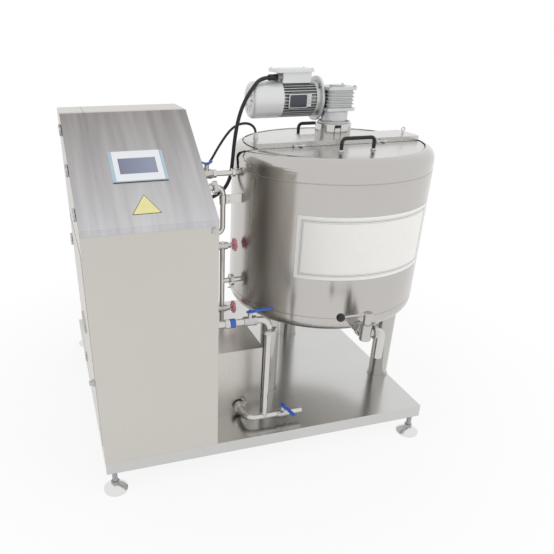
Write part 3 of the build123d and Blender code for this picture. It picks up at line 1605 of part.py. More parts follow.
lever_height = gland_top + 8
with BuildPart() as outlet_lever:
    with BuildSketch(facing_up(outlet_from_left, cock_from_front, gland_top - 29)):
        Circle(outlet_lever_radius + 4)
    extrude(amount=29 + seat_gap)
    with BuildSketch(facing_up(outlet_from_left, cock_from_front, gland_top + seat_gap)):
        Circle(cock_gland_radius + 2)
    extrude(amount=14)
    fillet(outlet_lever.edges().group_by(Axis.Z)[-1], 4)
    with BuildSketch(facing_right(outlet_from_left - 10, cock_from_front, lever_height)):
        Circle(outlet_lever_radius)
    extrude(amount=-(outlet_lever_length - 10 - outlet_knob_radius + 4))
save(outlet_lever, "outlet_lever")

with BuildPart() as outlet_knob:
    with Locations(at(outlet_from_left - outlet_lever_length, cock_from_front, lever_height)):
        Sphere(outlet_knob_radius)
    with BuildSketch(facing_right(outlet_from_left, cock_from_front, lever_height)):
        Circle(outlet_lever_radius + running)
    extrude(amount=-(outlet_lever_length - outlet_knob_radius + 4) - seat_gap, mode=Mode.SUBTRACT)
save(outlet_knob, "outlet_knob")

spout_from_left = spout_joint_from_left + clamp_gasket / 2 + 4 + spout_bend
with BuildPart() as outlet_spout:
    add(pipe([(spout_joint_from_left + clamp_gasket / 2, cock_from_front, outlet_height),
              (spout_from_left, cock_from_front, outlet_height),
              (spout_from_left, cock_from_front, spout_foot)],
             outlet_radius, spout_bend, outlet_wall))
    add(collar(spout_joint.offset(ferrule_offset), ferrule_radius, ferrule_height, outlet_radius))
save(outlet_spout, "outlet_spout")
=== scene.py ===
import math

import bmesh
import bpy
from mathutils import Matrix, Vector


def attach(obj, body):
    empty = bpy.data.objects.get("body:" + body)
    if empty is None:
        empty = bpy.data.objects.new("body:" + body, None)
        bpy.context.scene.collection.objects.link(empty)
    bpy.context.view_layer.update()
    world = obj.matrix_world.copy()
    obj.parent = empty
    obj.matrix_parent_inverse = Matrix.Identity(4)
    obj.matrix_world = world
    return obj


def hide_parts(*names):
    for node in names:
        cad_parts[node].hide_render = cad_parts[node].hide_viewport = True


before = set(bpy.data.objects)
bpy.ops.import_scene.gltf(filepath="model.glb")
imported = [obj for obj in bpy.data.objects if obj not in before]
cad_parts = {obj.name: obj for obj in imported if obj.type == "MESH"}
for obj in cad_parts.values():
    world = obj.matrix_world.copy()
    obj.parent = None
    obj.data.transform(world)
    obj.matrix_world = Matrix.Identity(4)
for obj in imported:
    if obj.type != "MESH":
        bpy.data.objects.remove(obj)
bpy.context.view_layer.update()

# The camera. The photo was taken from the front left, from just above the motor,
# and its axis lies left of and below the middle of the cropped picture.
TRAY_LEFT = -888.5
TRAY_FRONT = -760.0
DECK = 181.0


def at(x, y, z):
    """A place in millimetres from the tray's front left corner on the deck, in metres."""
    return Vector((TRAY_LEFT + x, TRAY_FRONT + y, DECK + z)) / 1000


camera_data = bpy.data.cameras.new("photo_camera")
camera_data.sensor_width = 36
camera_data.lens = 36.683
camera_data.shift_x = 0.1191
camera_data.shift_y = 0.1124
camera_data.clip_end = 100
camera = bpy.data.objects.new("photo_camera", camera_data)
camera.location = at(-88.77, -2081.07, 1778.42)
camera.rotation_euler = (math.radians(90 - 28.787), 0, math.radians(-16.075))
bpy.context.scene.collection.objects.link(camera)
bpy.context.scene.camera = camera
bpy.context.scene.view_settings.view_transform = "Standard"

# The motor cable: rubber-sheathed flex with a fine moulded rib, 18 mm across.
# It leaves the gland, hangs in front of the fan cowl's end and goes into the cabinet.


def linear(code):
    """The linear colour of an sRGB hex value such as 'c8c4be'."""
    parts = [int(code[i : i + 2], 16) / 255 for i in (0, 2, 4)]
    return tuple(c / 12.92 if c <= 0.04045 else ((c + 0.055) / 1.055) ** 2.4 for c in parts) + (1.0,)


def add(tree, kind, settings=None, **inputs):
    """Adds a node; settings are its own properties, inputs are values or output sockets."""
    made = tree.nodes.new(kind)
    for key, value in (settings or {}).items():
        setattr(made, key, value)
    for key, value in inputs.items():
        socket = made.inputs[int(key[1:])] if key[0] == "_" and key[1:].isdigit() else made.inputs[key.replace("_", " ")]
        if isinstance(value, bpy.types.NodeSocket):
            tree.links.new(value, socket)
        else:
            socket.default_value = value
    return made


def new_material(name):
    """An empty node material with its principled shader."""
    material = bpy.data.materials.new(name)
    material.use_nodes = True
    return material, material.node_tree, material.node_tree.nodes["Principled BSDF"]


# Vulcanised rubber sheath: near black, a soft sheen, ribs drawn 6 mm apart so that they show.
rubber_sheath, tree, shader = new_material("rubber_sheath")
place = add(tree, "ShaderNodeTexCoord")
ribs = add(
    tree, "ShaderNodeTexWave", {"wave_type": "BANDS", "bands_direction": "X"},
    Vector=add(tree, "ShaderNodeMapping", Vector=place.outputs["UV"], Scale=(32, 1, 1)).outputs[0],
    Scale=1.0, Distortion=0.0,
)
shader.inputs["Base Color"].default_value = linear("1b1b1d")
shader.inputs["Roughness"].default_value = 0.42
tree.links.new(
    add(tree, "ShaderNodeBump", Strength=0.5, Distance=0.0012, Height=ribs.outputs["Color"]).outputs[0],
    shader.inputs["Normal"],
)


def cable(name, points, diameter):
    """A smooth hanging cable along route points given in millimetres."""
    curve = bpy.data.curves.new(name, "CURVE")
    curve.dimensions = "3D"
    curve.bevel_depth = diameter / 2
    curve.bevel_resolution = 5
    curve.resolution_u = 10
    curve.use_fill_caps = True
    spline = curve.splines.new("NURBS")
    spline.points.add(len(points) - 1)
    for point, control in zip(points, spline.points):
        control.co = (*at(*point), 1.0)
    spline.order_u = 3
    spline.use_endpoint_u = True
    piece = bpy.data.objects.new(name, curve)
    bpy.context.scene.collection.objects.link(piece)
    curve.materials.append(rubber_sheath)
    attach(piece, "machine")
    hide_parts(name)
    return piece


motor_route = [
    (973, 620, 1581),
    (924, 610, 1579),
    (881, 582, 1545),
    (845, 581, 1496),
    (820, 588, 1432),
    (808, 598, 1366),
    (800, 605, 1290),
    (794, 608, 1205),
    (784, 606, 1130),
    (745, 602, 1072),
    (672, 600, 1040),
    (622, 600, 1033),
    (572, 600, 1032),
]
motor_cable = cable("motor_cable", motor_route, 0.018)

# The probe cable: thin silicone lead that stands up out of the probe's head,
# bends over and hangs down behind the return pipe to the cabinet.
probe_route = [
    (925, 647, 1321.4),
    (925, 647, 1352),
    (893, 649, 1379),
    (848, 652, 1380),
    (806, 652, 1362),
    (768, 645, 1325),
    (727, 636, 1273),
    (693, 628, 1222),
    (650, 620, 1172),
    (606, 614, 1150),
    (566, 612, 1146),
]
probe_cable = cable("probe_cable", probe_route, 0.012)

# The base tray: one sheet of 3 mm stainless, folded down at its edges and brushed.
# Its deck has been polished by cleaning, so it mirrors the legs softly.


def sheet_metal(name, colour, other, roughness, grain, streak, edge, pull=0.0, relief=0.03):
    """Brushed or polished stainless sheet; grain is lines per metre along x, y and z.
    pull stretches highlights across the grain, about the piece's upright axis."""
    material, tree, shader = new_material(name)
    place = add(tree, "ShaderNodeTexCoord").outputs["Object"]
    fine = add(
        tree, "ShaderNodeTexNoise",
        Vector=add(tree, "ShaderNodeMapping", Vector=place, Scale=grain).outputs[0],
        Scale=1.0, Detail=3.0, Roughness=0.6,
    ).outputs["Fac"]
    cloud = add(tree, "ShaderNodeTexNoise", Vector=place, Scale=1.7, Detail=2.0).outputs["Fac"]
    mixed = add(tree, "ShaderNodeMix", {"data_type": "RGBA"}, _0=cloud, _6=linear(colour), _7=linear(other))
    tree.links.new(mixed.outputs[2], shader.inputs["Base Color"])
    shader.inputs["Metallic"].default_value = 1.0
    rough = add(
        tree, "ShaderNodeMapRange", Value=fine,
        From_Min=0.3, From_Max=0.7, To_Min=roughness * (1 - streak), To_Max=roughness * (1 + streak),
    )
    tree.links.new(rough.outputs[0], shader.inputs["Roughness"])
    rounded = add(tree, "ShaderNodeBevel", {"samples": 4}, Radius=edge)
    bump = add(
        tree, "ShaderNodeBump", Strength=relief, Distance=0.0004, Height=fine, Normal=rounded.outputs[0]
    )
    if pull:
        shader.inputs["Anisotropic"].default_value = pull
        shader.inputs["Anisotropic Rotation"].default_value = 0.25
        around = add(tree, "ShaderNodeTangent", {"direction_type": "RADIAL", "axis": "Z"})
        tree.links.new(around.outputs[0], shader.inputs["Tangent"])
    tree.links.new(bump.outputs[0], shader.inputs["Normal"])
    return material


def dress(material, *names):
    """Gives CAD nodes a finish."""
    for name in names:
        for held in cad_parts[name].material_slots:
            held.material = material


# Cold-rolled 304 sheet, satin brushed: warm pale grey with soft blurred reflections.
deck_sheet = sheet_metal("brushed_304_deck", "c3c3c1", "d2d1cf", 0.2, (60, 700, 60), 0.25, 0.0025)
dress(deck_sheet, "base_tray", "tray_stiffeners")


def keep(name, mesh, material, body, angle=35):
    """Links a finished mesh as a piece that moves with a body."""
    mesh.materials.clear()
    mesh.materials.append(material)
    mesh.shade_smooth()
    mesh.set_sharp_from_angle(angle=math.radians(angle))
    piece = bpy.data.objects.new(name, mesh)
    bpy.context.scene.collection.objects.link(piece)
    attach(piece, body)
    return piece


def ring_frame(axis):
    """Two unit vectors square to an axis."""
    axis = Vector(axis).normalized()
    side = axis.orthogonal().normalized()
    if abs(axis.z) < 0.9:
        side = Vector((0, 0, 1)).cross(axis).normalized()
    return axis, side, axis.cross(side)


def turned(name, places, axis, profile, sides=48):
    """Turned parts at several places: profile is (radius, height) in mm along the axis."""
    axis, side, up = ring_frame(axis)
    shape = bmesh.new()
    for place in places:
        rings = []
        for radius, height in profile:
            middle = place + axis * height / 1000
            if radius < 0.01:
                rings.append([shape.verts.new(middle)])
                continue
            rings.append([
                shape.verts.new(
                    middle
                    + (side * math.cos(2 * math.pi * k / sides) + up * math.sin(2 * math.pi * k / sides))
                    * radius / 1000
                )
                for k in range(sides)
            ])
        for lower, upper in zip(rings, rings[1:]):
            for k in range(sides):
                a, b = lower[k % len(lower)], lower[(k + 1) % len(lower)]
                c, d = upper[(k + 1) % len(upper)], upper[k % len(upper)]
                corners = list(dict.fromkeys((a, b, c, d)))
                if len(corners) > 2:
                    shape.faces.new(corners)
        if len(rings[0]) > 2 and profile[0] != profile[-1]:
            shape.faces.new(rings[0][::-1])
        if len(rings[-1]) > 2 and profile[0] != profile[-1]:
            shape.faces.new(rings[-1])
    bmesh.ops.recalc_face_normals(shape, faces=shape.faces[:])
    mesh = bpy.data.meshes.new(name)
    shape.to_mesh(mesh)
    shape.free()
    return mesh


# The levelling feet: bells pressed from stainless and polished, on threaded stems
# with a lock nut each, screwed into bushes under the tray.
# Bright polished 304: nearly white, with sharp reflections and fine turning marks.
bright_bell = sheet_metal("polished_304_bells", "dcdcda", "e6e6e4", 0.13, (300, 300, 900), 0.25, 0.001)
dress(bright_bell, "leveling_feet")

# Zinc-plated steel: cool grey, slightly mottled, sharper highlights than the sheet.
zinc_plate, tree, shader = new_material("zinc_plated_steel")
place = add(tree, "ShaderNodeTexCoord").outputs["Object"]
spangle = add(tree, "ShaderNodeTexVoronoi", Vector=place, Scale=420.0).outputs["Color"]
grey = add(tree, "ShaderNodeMix", {"data_type": "RGBA"}, _0=0.06, _6=linear("a8aaac"), _7=spangle)
tree.links.new(grey.outputs[2], shader.inputs["Base Color"])
shader.inputs["Metallic"].default_value = 1.0
shader.inputs["Roughness"].default_value = 0.28
dress(zinc_plate, "foot_stems")

foot_places = [(x, y) for x in (38, 1649) for y in (25, 1535)]
thread = [(12.1 if k % 2 else 12.9, 1.75 * k) for k in range(31)]
stem_thread = turned("stem_threads", [at(x, y, -129) for x, y in foot_places], (0, 0, 1),
                     [(11.9, -0.5)] + thread + [(11.9, 53)], 28)
keep("stem_threads", stem_thread, zinc_plate, "machine", 20)

# The cabinet: 2 mm brushed sheet folded at the fold line, with the console's own door.
# The grain runs up the panels, and the steel is a warm pale grey.
cabinet_sheet = sheet_metal("brushed_304_cabinet", "cac6c0", "cfcbc5", 0.34, (900, 900, 12), 0.2, 0.002, relief=0.012)
dress(cabinet_sheet, "cabinet_shell", "side_door", "water_box")
console_sheet = sheet_metal("brushed_304_console", "b4b1b0", "bfbcbe", 0.34, (1400, 40, 40), 0.2, 0.003, relief=0.02)
# The slope is painted darker towards its top: two plain tones run up it as painted reflection and shade, under faint
# wear.
tree = console_sheet.node_tree
place = add(tree, "ShaderNodeTexCoord").outputs["Object"]
climb = add(tree, "ShaderNodeSeparateXYZ", _0=place)
climb = add(tree, "ShaderNodeMapRange", Value=climb.outputs[2], From_Min=1.3, From_Max=1.64)
wear = add(
    tree, "ShaderNodeTexNoise",
    Vector=add(tree, "ShaderNodeMapping", Vector=place, Scale=(26, 1.2, 1.2)).outputs[0], Scale=1.0, Detail=3.0,
).outputs["Fac"]
tone = add(tree, "ShaderNodeMix", {"data_type": "RGBA"}, _0=climb.outputs[0], _6=linear("c9c8ca"), _7=linear("9a9695"))
tone = add(
    tree, "ShaderNodeMix", {"data_type": "RGBA", "blend_type": "SOFT_LIGHT"}, _0=0.2, _6=tone.outputs[2],
    _7=add(tree, "ShaderNodeMapRange", Value=wear, From_Min=0.35, From_Max=0.65).outputs[0],
)
tree.links.new(tone.outputs[2], tree.nodes["Principled BSDF"].inputs["Base Color"])
dress(console_sheet, "console_door")
hinge_steel = sheet_metal("turned_304_hinges", "b9b8b5", "c6c5c2", 0.22, (200, 200, 200), 0.2, 0.0006)
dress(hinge_steel, "side_door_hinges", "console_hinges", "lid_hinges", "console_latch", "side_door_latch")

SLOPE = math.atan2(1468 - 1120, 525)
ALONG = Vector((0, math.cos(SLOPE), math.sin(SLOPE)))
OUT = Vector((0, -math.sin(SLOPE), math.cos(SLOPE)))


def on_console(across, up, out):
    """A place on the console: mm from its left edge, up its slope and out of its skin."""
    return at(across, 0, 1120) + (ALONG * up + OUT * out) / 1000


def plate(name, corners, depth, bevel, segments=2):
    """A solid plate between a face's corners and the same face sunk by a depth, in metres."""
    shape = bmesh.new()
    normal = (corners[1] - corners[0]).cross(corners[2] - corners[1]).normalized()
    top = [shape.verts.new(c) for c in corners]
    low = [shape.verts.new(c - normal * depth) for c in corners]
    shape.faces.new(top)
    shape.faces.new(low[::-1])
    count = len(corners)
    for k in range(count):
        shape.faces.new((top[k], low[k], low[(k + 1) % count], top[(k + 1) % count]))
    bmesh.ops.recalc_face_normals(shape, faces=shape.faces[:])
    if bevel:
        bmesh.ops.bevel(shape, geom=shape.edges[:], offset=bevel, segments=segments, profile=0.5, affect="EDGES")
    mesh = bpy.data.meshes.new(name)
    shape.to_mesh(mesh)
    shape.free()
    return mesh


# The joint in the cabinet's top cap shows as a fine dark line.
seam_shadow, tree, shader = new_material("sheet_joint_shadow")
shader.inputs["Base Color"].default_value = linear("4d4b49")
shader.inputs["Metallic"].default_value = 1.0
shader.inputs["Roughness"].default_value = 0.5
cap_joint = plate("cap_joint", [at(101, 526, 1468.25), at(102.4, 526, 1468.25), at(102.4, 748, 1468.25), at(101, 748, 1468.25)], 0.0004, 0)
keep("cap_joint", cap_joint, seam_shadow, "machine")

# The touch panel: a white moulded frame with pale blue side strips and a sunk screen.
# The frame clips into the door, and its outer edge is rounded and stands 7 mm proud.
PANEL_LEFT, PANEL_LOW, PANEL_WIDE, PANEL_TALL = 162, 225.5, 226.5, 163


def on_panel(across, up, out):
    return on_console(PANEL_LEFT + across, PANEL_LOW + up, out)


white_abs, tree, shader = new_material("moulded_abs_white")
place = add(tree, "ShaderNodeTexCoord").outputs["Object"]
spark = add(tree, "ShaderNodeTexNoise", Vector=place, Scale=1500.0, Detail=2.0).outputs["Fac"]
shader.inputs["Base Color"].default_value = linear("eef1f5")
shader.inputs["Roughness"].default_value = 0.38
tree.links.new(
    add(tree, "ShaderNodeBump", Strength=0.12, Distance=0.0002, Height=spark).outputs[0], shader.inputs["Normal"]
)
blue_abs, tree, shader = new_material("moulded_abs_pale_blue")
place = add(tree, "ShaderNodeTexCoord").outputs["Object"]
fade = add(tree, "ShaderNodeTexNoise", Vector=place, Scale=14.0).outputs["Fac"]
blue = add(tree, "ShaderNodeMix", {"data_type": "RGBA"}, _0=fade, _6=linear("a9c0ce"), _7=linear("bccfd9"))
tree.links.new(blue.outputs[2], shader.inputs["Base Color"])
shader.inputs["Roughness"].default_value = 0.33


def panel_frame(name, outer, inner, low, high, bevel):
    """A flat rectangular ring between two outlines, each (left, right, bottom, top) in mm."""
    shape = bmesh.new()

    def loop(box, out):
        left, right, bottom, top = box
        return [
            shape.verts.new(on_panel(x, y, out))
            for x, y in ((left, bottom), (right, bottom), (right, top), (left, top))
        ]

    rings = [loop(outer, low), loop(outer, high), loop(inner, high), loop(inner, low)]
    for first, second in zip(rings, rings[1:] + rings[:1]):
        for k in range(4):
            shape.faces.new((first[k], first[(k + 1) % 4], second[(k + 1) % 4], second[k]))
    bmesh.ops.recalc_face_normals(shape, faces=shape.faces[:])
    bmesh.ops.bevel(shape, geom=shape.edges[:], offset=bevel, segments=3, profile=0.6, affect="EDGES")
    mesh = bpy.data.meshes.new(name)
    shape.to_mesh(mesh)
    shape.free()
    return mesh


SCREEN = (36.25, 190.25, 38.5, 124.5)
face = panel_frame("touch_panel_face", (15, PANEL_WIDE - 14, 2, PANEL_TALL), SCREEN, -10, 7, 0.0011)
face_piece = keep("touch_panel_face", face, white_abs, "console_door")
for name, left, right in (("left", 0, 16), ("right", PANEL_WIDE - 15, PANEL_WIDE)):
    strip = plate(
        f"touch_panel_{name}",
        [on_panel(left, 0, 6.2), on_panel(right, 0, 6.2), on_panel(right, PANEL_TALL, 6.2), on_panel(left, PANEL_TALL, 6.2)],
        0.012, 0.0025, 3,
    )
    keep(f"touch_panel_{name}", strip, blue_abs, "console_door")
sill = plate(
    "touch_panel_sill",
    [on_panel(2, 0, 6.0), on_panel(PANEL_WIDE - 2, 0, 6.0), on_panel(PANEL_WIDE - 2, 5, 6.0), on_panel(2, 5, 6.0)],
    0.012, 0.001, 2,
)
keep("touch_panel_sill", sill, blue_abs, "console_door")
# A dark foam gasket shows as a band below the frame and a thinner one above it: partly the real gasket, partly a
# painted shadow of the frame.
gasket_and_shadow_edge = plate(
    "touch_panel_gasket_and_shadow",
    [on_panel(1, -2.2, 1.4), on_panel(PANEL_WIDE - 1, -2.2, 1.4), on_panel(PANEL_WIDE - 1, PANEL_TALL + 1, 1.4), on_panel(1, PANEL_TALL + 1, 1.4)],
    0.0013, 0.0003,
)
dark_gasket_and_shadow, tree, shader = new_material("foam_gasket_and_painted_shadow")
place = add(tree, "ShaderNodeTexCoord").outputs["Object"]
cells = add(tree, "ShaderNodeTexNoise", Vector=place, Scale=2200.0).outputs["Fac"]
shader.inputs["Base Color"].default_value = linear("2b333c")
shader.inputs["Roughness"].default_value = 0.8
tree.links.new(
    add(tree, "ShaderNodeBump", Strength=0.3, Distance=0.0003, Height=cells).outputs[0], shader.inputs["Normal"]
)
keep("touch_panel_gasket_and_shadow", gasket_and_shadow_edge, dark_gasket_and_shadow, "console_door")

# The screen is off: slate blue glass-fronted film with a slow gradient.
screen_film, tree, shader = new_material("switched_off_screen")
place = add(tree, "ShaderNodeTexCoord").outputs["Object"]
slide = add(tree, "ShaderNodeSeparateXYZ", _0=place)
# The film is painted lighter towards its right side: a painted reflection.
across = add(tree, "ShaderNodeMapRange", Value=slide.outputs[0], From_Min=-0.69, From_Max=-0.53)
tone = add(tree, "ShaderNodeMix", {"data_type": "RGBA"}, _0=across.outputs[0], _6=linear("82869a"), _7=linear("98a0b6"))
tree.links.new(tone.outputs[2], shader.inputs["Base Color"])
shader.inputs["Roughness"].default_value = 0.25
shader.inputs["Specular IOR Level"].default_value = 0.35
left, right, bottom, top = SCREEN
glass = plate(
    "touch_panel_glass",
    [on_panel(left - 2, bottom - 2, 3.4), on_panel(right + 2, bottom - 2, 3.4), on_panel(right + 2, top + 2, 3.4), on_panel(left - 2, top + 2, 3.4)],
    0.003, 0,
)
glass_piece = keep("touch_panel_glass", glass, screen_film, "console_door")
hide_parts("touch_panel_bezel")
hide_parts("touch_panel_screen")

# The sign under the panel: a bare yellow triangle of enamelled sheet with a dark edge line.
# It is glued on, 0.8 mm thick, and has rounded corners.
yellow_enamel, tree, shader = new_material("enamelled_sheet_yellow")
place = add(tree, "ShaderNodeTexCoord").outputs["Object"]
mottle = add(tree, "ShaderNodeTexNoise", Vector=place, Scale=60.0, Detail=3.0).outputs["Fac"]
tone = add(tree, "ShaderNodeMix", {"data_type": "RGBA"}, _0=mottle, _6=linear("e8e09a"), _7=linear("efe9ae"))
tree.links.new(tone.outputs[2], shader.inputs["Base Color"])
shader.inputs["Roughness"].default_value = 0.4
dark_ink, tree, shader = new_material("printed_dark_ink")
place = add(tree, "ShaderNodeTexCoord").outputs["Object"]
worn = add(tree, "ShaderNodeTexNoise", Vector=place, Scale=220.0, Detail=2.0).outputs["Fac"]
tone = add(tree, "ShaderNodeMix", {"data_type": "RGBA"}, _0=worn, _6=linear("4a463f"), _7=linear("5a564f"))
tree.links.new(tone.outputs[2], shader.inputs["Base Color"])
shader.inputs["Roughness"].default_value = 0.5


def triangle(grow):
    """The sign's outline, grown in mm from its middle, with cut corners."""
    tips = [(210, 58), (328, 59), (272, 158)]
    middle = (sum(t[0] for t in tips) / 3, sum(t[1] for t in tips) / 3)
    tips = [(middle[0] + (x - middle[0]) * grow, middle[1] + (y - middle[1]) * grow) for x, y in tips]
    cut = []
    for k in range(3):
        here, before, after = tips[k], tips[k - 1], tips[(k + 1) % 3]
        for other in (before, after):
            span = math.hypot(other[0] - here[0], other[1] - here[1])
            cut.append((here[0] + (other[0] - here[0]) * 3 / span, here[1] + (other[1] - here[1]) * 3 / span))
    return cut


sign_edge = plate("sign_edge", [on_console(x, y, 0.7) for x, y in triangle(1.0)], 0.0008, 0.0001, 1)
keep("sign_edge", sign_edge, dark_ink, "console_door")
sign_face = plate("sign_face", [on_console(x, y, 0.95) for x, y in triangle(0.93)], 0.0008, 0.0001, 1)
keep("sign_face", sign_face, yellow_enamel, "console_door")

# The tank: rolled bright-annealed sheet, welded to a pressed shoulder and bottom.
# The wall is polished round, which draws its soft reflections upright, and the welds are
# planished into faint flat rings.
tank_sheet = sheet_metal("bright_annealed_304_tank", "bcb9b6", "c7c4c0", 0.2, (300, 300, 2), 0.2, 0.001, pull=0.8, relief=0.02)
tree = tank_sheet.node_tree
shader = tree.nodes["Principled BSDF"]
place = add(tree, "ShaderNodeTexCoord").outputs["Object"]
apart = add(tree, "ShaderNodeVectorMath", {"operation": "SUBTRACT"}, _0=place, _1=tuple(at(1306, 585, 0)))
part_of = add(tree, "ShaderNodeSeparateXYZ", _0=apart.outputs[0])
# The shoulder above the weld is polished, and its rolling left fine crinkles.
above = add(tree, "ShaderNodeMapRange", Value=part_of.outputs[2], From_Min=1.185, From_Max=1.2, To_Min=0.0, To_Max=1.0)
polish = add(
    tree, "ShaderNodeMapRange", Value=above.outputs[0], To_Min=0.24, To_Max=0.1,
)
tree.links.new(polish.outputs[0], shader.inputs["Roughness"])
crinkle = add(
    tree, "ShaderNodeTexNoise",
    Vector=add(tree, "ShaderNodeMapping", Vector=place, Scale=(14, 14, 60)).outputs[0], Scale=1.0, Detail=4.0,
).outputs["Fac"]
strength = add(tree, "ShaderNodeMath", {"operation": "MULTIPLY"}, _0=above.outputs[0], _1=0.5)
dent = add(
    tree, "ShaderNodeBump", Strength=strength.outputs[0], Distance=0.004, Height=crinkle,
    Normal=add(tree, "ShaderNodeBevel", {"samples": 4}, Radius=0.001).outputs[0],
)
tree.links.new(dent.outputs[0], shader.inputs["Normal"])
dress(tank_sheet, "tank_jacket")
vessel_sheet = sheet_metal("polished_304_vessel", "b9b7b3", "c6c4c0", 0.18, (300, 300, 300), 0.2, 0.001)
dress(vessel_sheet, "inner_vessel", "agitator_shaft", "agitator_anchor")
leg_tube = sheet_metal("polished_304_tube_legs", "b6b4b1", "c4c2bf", 0.16, (200, 200, 12), 0.3, 0.001)
dress(leg_tube, "tank_legs", "outlet_stub")

TANK = (1306, 585)
TANK_RADIUS = 497


def round_wall(angle, height, out):
    """A place on the tank's wall: degrees about its axis, mm above the deck, mm off the wall."""
    turn = math.radians(angle)
    reach = TANK_RADIUS + out
    return at(TANK[0] + reach * math.cos(turn), TANK[1] + reach * math.sin(turn), height)


weld_bead = sheet_metal("planished_weld", "a7a39f", "b9b5b0", 0.3, (500, 500, 500), 0.3, 0.0004)
for name, height in (("upper", 1188), ("lower", 546)):
    ring = turned(
        f"tank_weld_{name}", [at(*TANK, height)], (0, 0, 1),
        [(497.02, -2.6), (497.5, -1.4), (497.65, 0), (497.5, 1.4), (497.02, 2.6)], 144,
    )
    keep(f"tank_weld_{name}", ring, weld_bead, "machine")
long_weld = bmesh.new()
for k in range(81):
    height = 548 + (1186 - 548) * k / 80
    edge = [long_weld.verts.new(round_wall(-36 + side * 0.28, height, 0.45 - 0.4 * abs(side))) for side in (-1, 0, 1)]
    if k:
        for a in range(2):
            long_weld.faces.new((last[a], last[a + 1], edge[a + 1], edge[a]))
    last = edge
long_mesh = bpy.data.meshes.new("tank_weld_upright")
long_weld.to_mesh(long_mesh)
long_weld.free()
keep("tank_weld_upright", long_mesh, weld_bead, "machine")

# The blank sign on the tank: white enamelled sheet bent to the wall, with a grey border line.
white_enamel, tree, shader = new_material("enamelled_sheet_white")
place = add(tree, "ShaderNodeTexCoord").outputs["Object"]
mottle = add(tree, "ShaderNodeTexNoise", Vector=place, Scale=35.0, Detail=3.0).outputs["Fac"]
tone = add(tree, "ShaderNodeMix", {"data_type": "RGBA"}, _0=mottle, _6=linear("e9e8e4"), _7=linear("efeeeb"))
tree.links.new(tone.outputs[2], shader.inputs["Base Color"])
shader.inputs["Roughness"].default_value = 0.3


def wall_patch(name, spans, inner, outer, steps=48):
    """Bent sheet on the wall; spans are (from, to) degrees and (low, high) mm."""
    shape = bmesh.new()
    for (start, end), (low, high) in spans:
        columns = []
        for k in range(steps + 1):
            angle = start + (end - start) * k / steps
            columns.append([
                shape.verts.new(round_wall(angle, height, out))
                for height, out in ((low, inner), (low, outer), (high, outer), (high, inner))
            ])
        for first, second in zip(columns, columns[1:]):
            for a in range(4):
                shape.faces.new((first[a], second[a], second[(a + 1) % 4], first[(a + 1) % 4]))
        shape.faces.new(columns[0])
        shape.faces.new(columns[-1][::-1])
    bmesh.ops.recalc_face_normals(shape, faces=shape.faces[:])
    mesh = bpy.data.meshes.new(name)
    shape.to_mesh(mesh)
    shape.free()
    return mesh


SIGN_FROM, SIGN_TO, SIGN_LOW, SIGN_HIGH = -131, -45, 745, 1045
sign_plate = wall_patch("tank_sign", [((SIGN_FROM, SIGN_TO), (SIGN_LOW, SIGN_HIGH))], 0.1, 1.4)
keep("tank_sign", sign_plate, white_enamel, "machine")
step = math.degrees(1 / TANK_RADIUS)
border = []
for inset, thick in ((15, 1.6), (20, 4.5), (28, 1.6)):
    low, high = SIGN_LOW + inset, SIGN_HIGH - inset
    first, last_angle = SIGN_FROM + inset * step, SIGN_TO - inset * step
    border += [
        ((first, last_angle), (low, low + thick)),
        ((first, last_angle), (high - thick, high)),
        ((first, first + thick * step), (low, high)),
        ((last_angle - thick * step, last_angle), (low, high)),
    ]
border_mesh = wall_patch("tank_sign_border", border, 1.3, 1.55)
grey_ink, tree, shader = new_material("printed_grey_ink")
place = add(tree, "ShaderNodeTexCoord").outputs["Object"]
dots = add(tree, "ShaderNodeTexNoise", Vector=place, Scale=260.0, Detail=1.0).outputs["Fac"]
tone = add(tree, "ShaderNodeMix", {"data_type": "RGBA"}, _0=dots, _6=linear("9b9a97"), _7=linear("c6c5c2"))
tree.links.new(tone.outputs[2], shader.inputs["Base Color"])
shader.inputs["Roughness"].default_value = 0.4
keep("tank_sign_border", border_mesh, grey_ink, "machine")

# The lids and the bridge: brushed pans and a folded channel, brighter than the wall.
lid_sheet = sheet_metal("brushed_304_lids", "cbcac8", "d3d2cf", 0.26, (60, 1200, 60), 0.15, 0.0015, relief=0.01)
dress(lid_sheet, "lid_front", "lid_rear", "bridge_beam")
silicone, tree, shader = new_material("moulded_silicone_white")
shader.inputs["Base Color"].default_value = linear("dcdad4")
shader.inputs["Roughness"].default_value = 0.55
dress(silicone, "lid_gasket", "shaft_seal")

# The lid handles: steel rod under a black gloss sleeve, with a steel collar at each foot.
gloss_sleeve, tree, shader = new_material("moulded_phenolic_black")
place = add(tree, "ShaderNodeTexCoord").outputs["Object"]
swirl = add(tree, "ShaderNodeTexNoise", Vector=place, Scale=120.0, Detail=2.0).outputs["Fac"]
shader.inputs["Base Color"].default_value = linear("151515")
rough = add(tree, "ShaderNodeMapRange", Value=swirl, To_Min=0.18, To_Max=0.3)
tree.links.new(rough.outputs[0], shader.inputs["Roughness"])
dress(gloss_sleeve, "lid_front_handle", "lid_rear_handle", "outlet_knob")
collar = [(0, 0), (13, 0), (13.6, 0.8), (13.6, 3.6), (12.4, 5), (10.5, 9), (8.55, 10)]
for body, y in (("lid_front", 325), ("lid_rear", 810)):
    feet = turned(f"{body}_handle_collars", [at(x, y, 1286) for x in (1223.5, 1388.5)], (0, 0, 1), collar, 32)
    keep(f"{body}_handle_collars", feet, hinge_steel, body)

# The drive: a polished drum on the bridge, then a cast worm gearbox and its flange motor.
drum_steel = sheet_metal("mirror_polished_304_drum", "c4c2bf", "d2d0cd", 0.07, (20, 20, 20), 0.2, 0.001)
dress(drum_steel, "motor_stand")

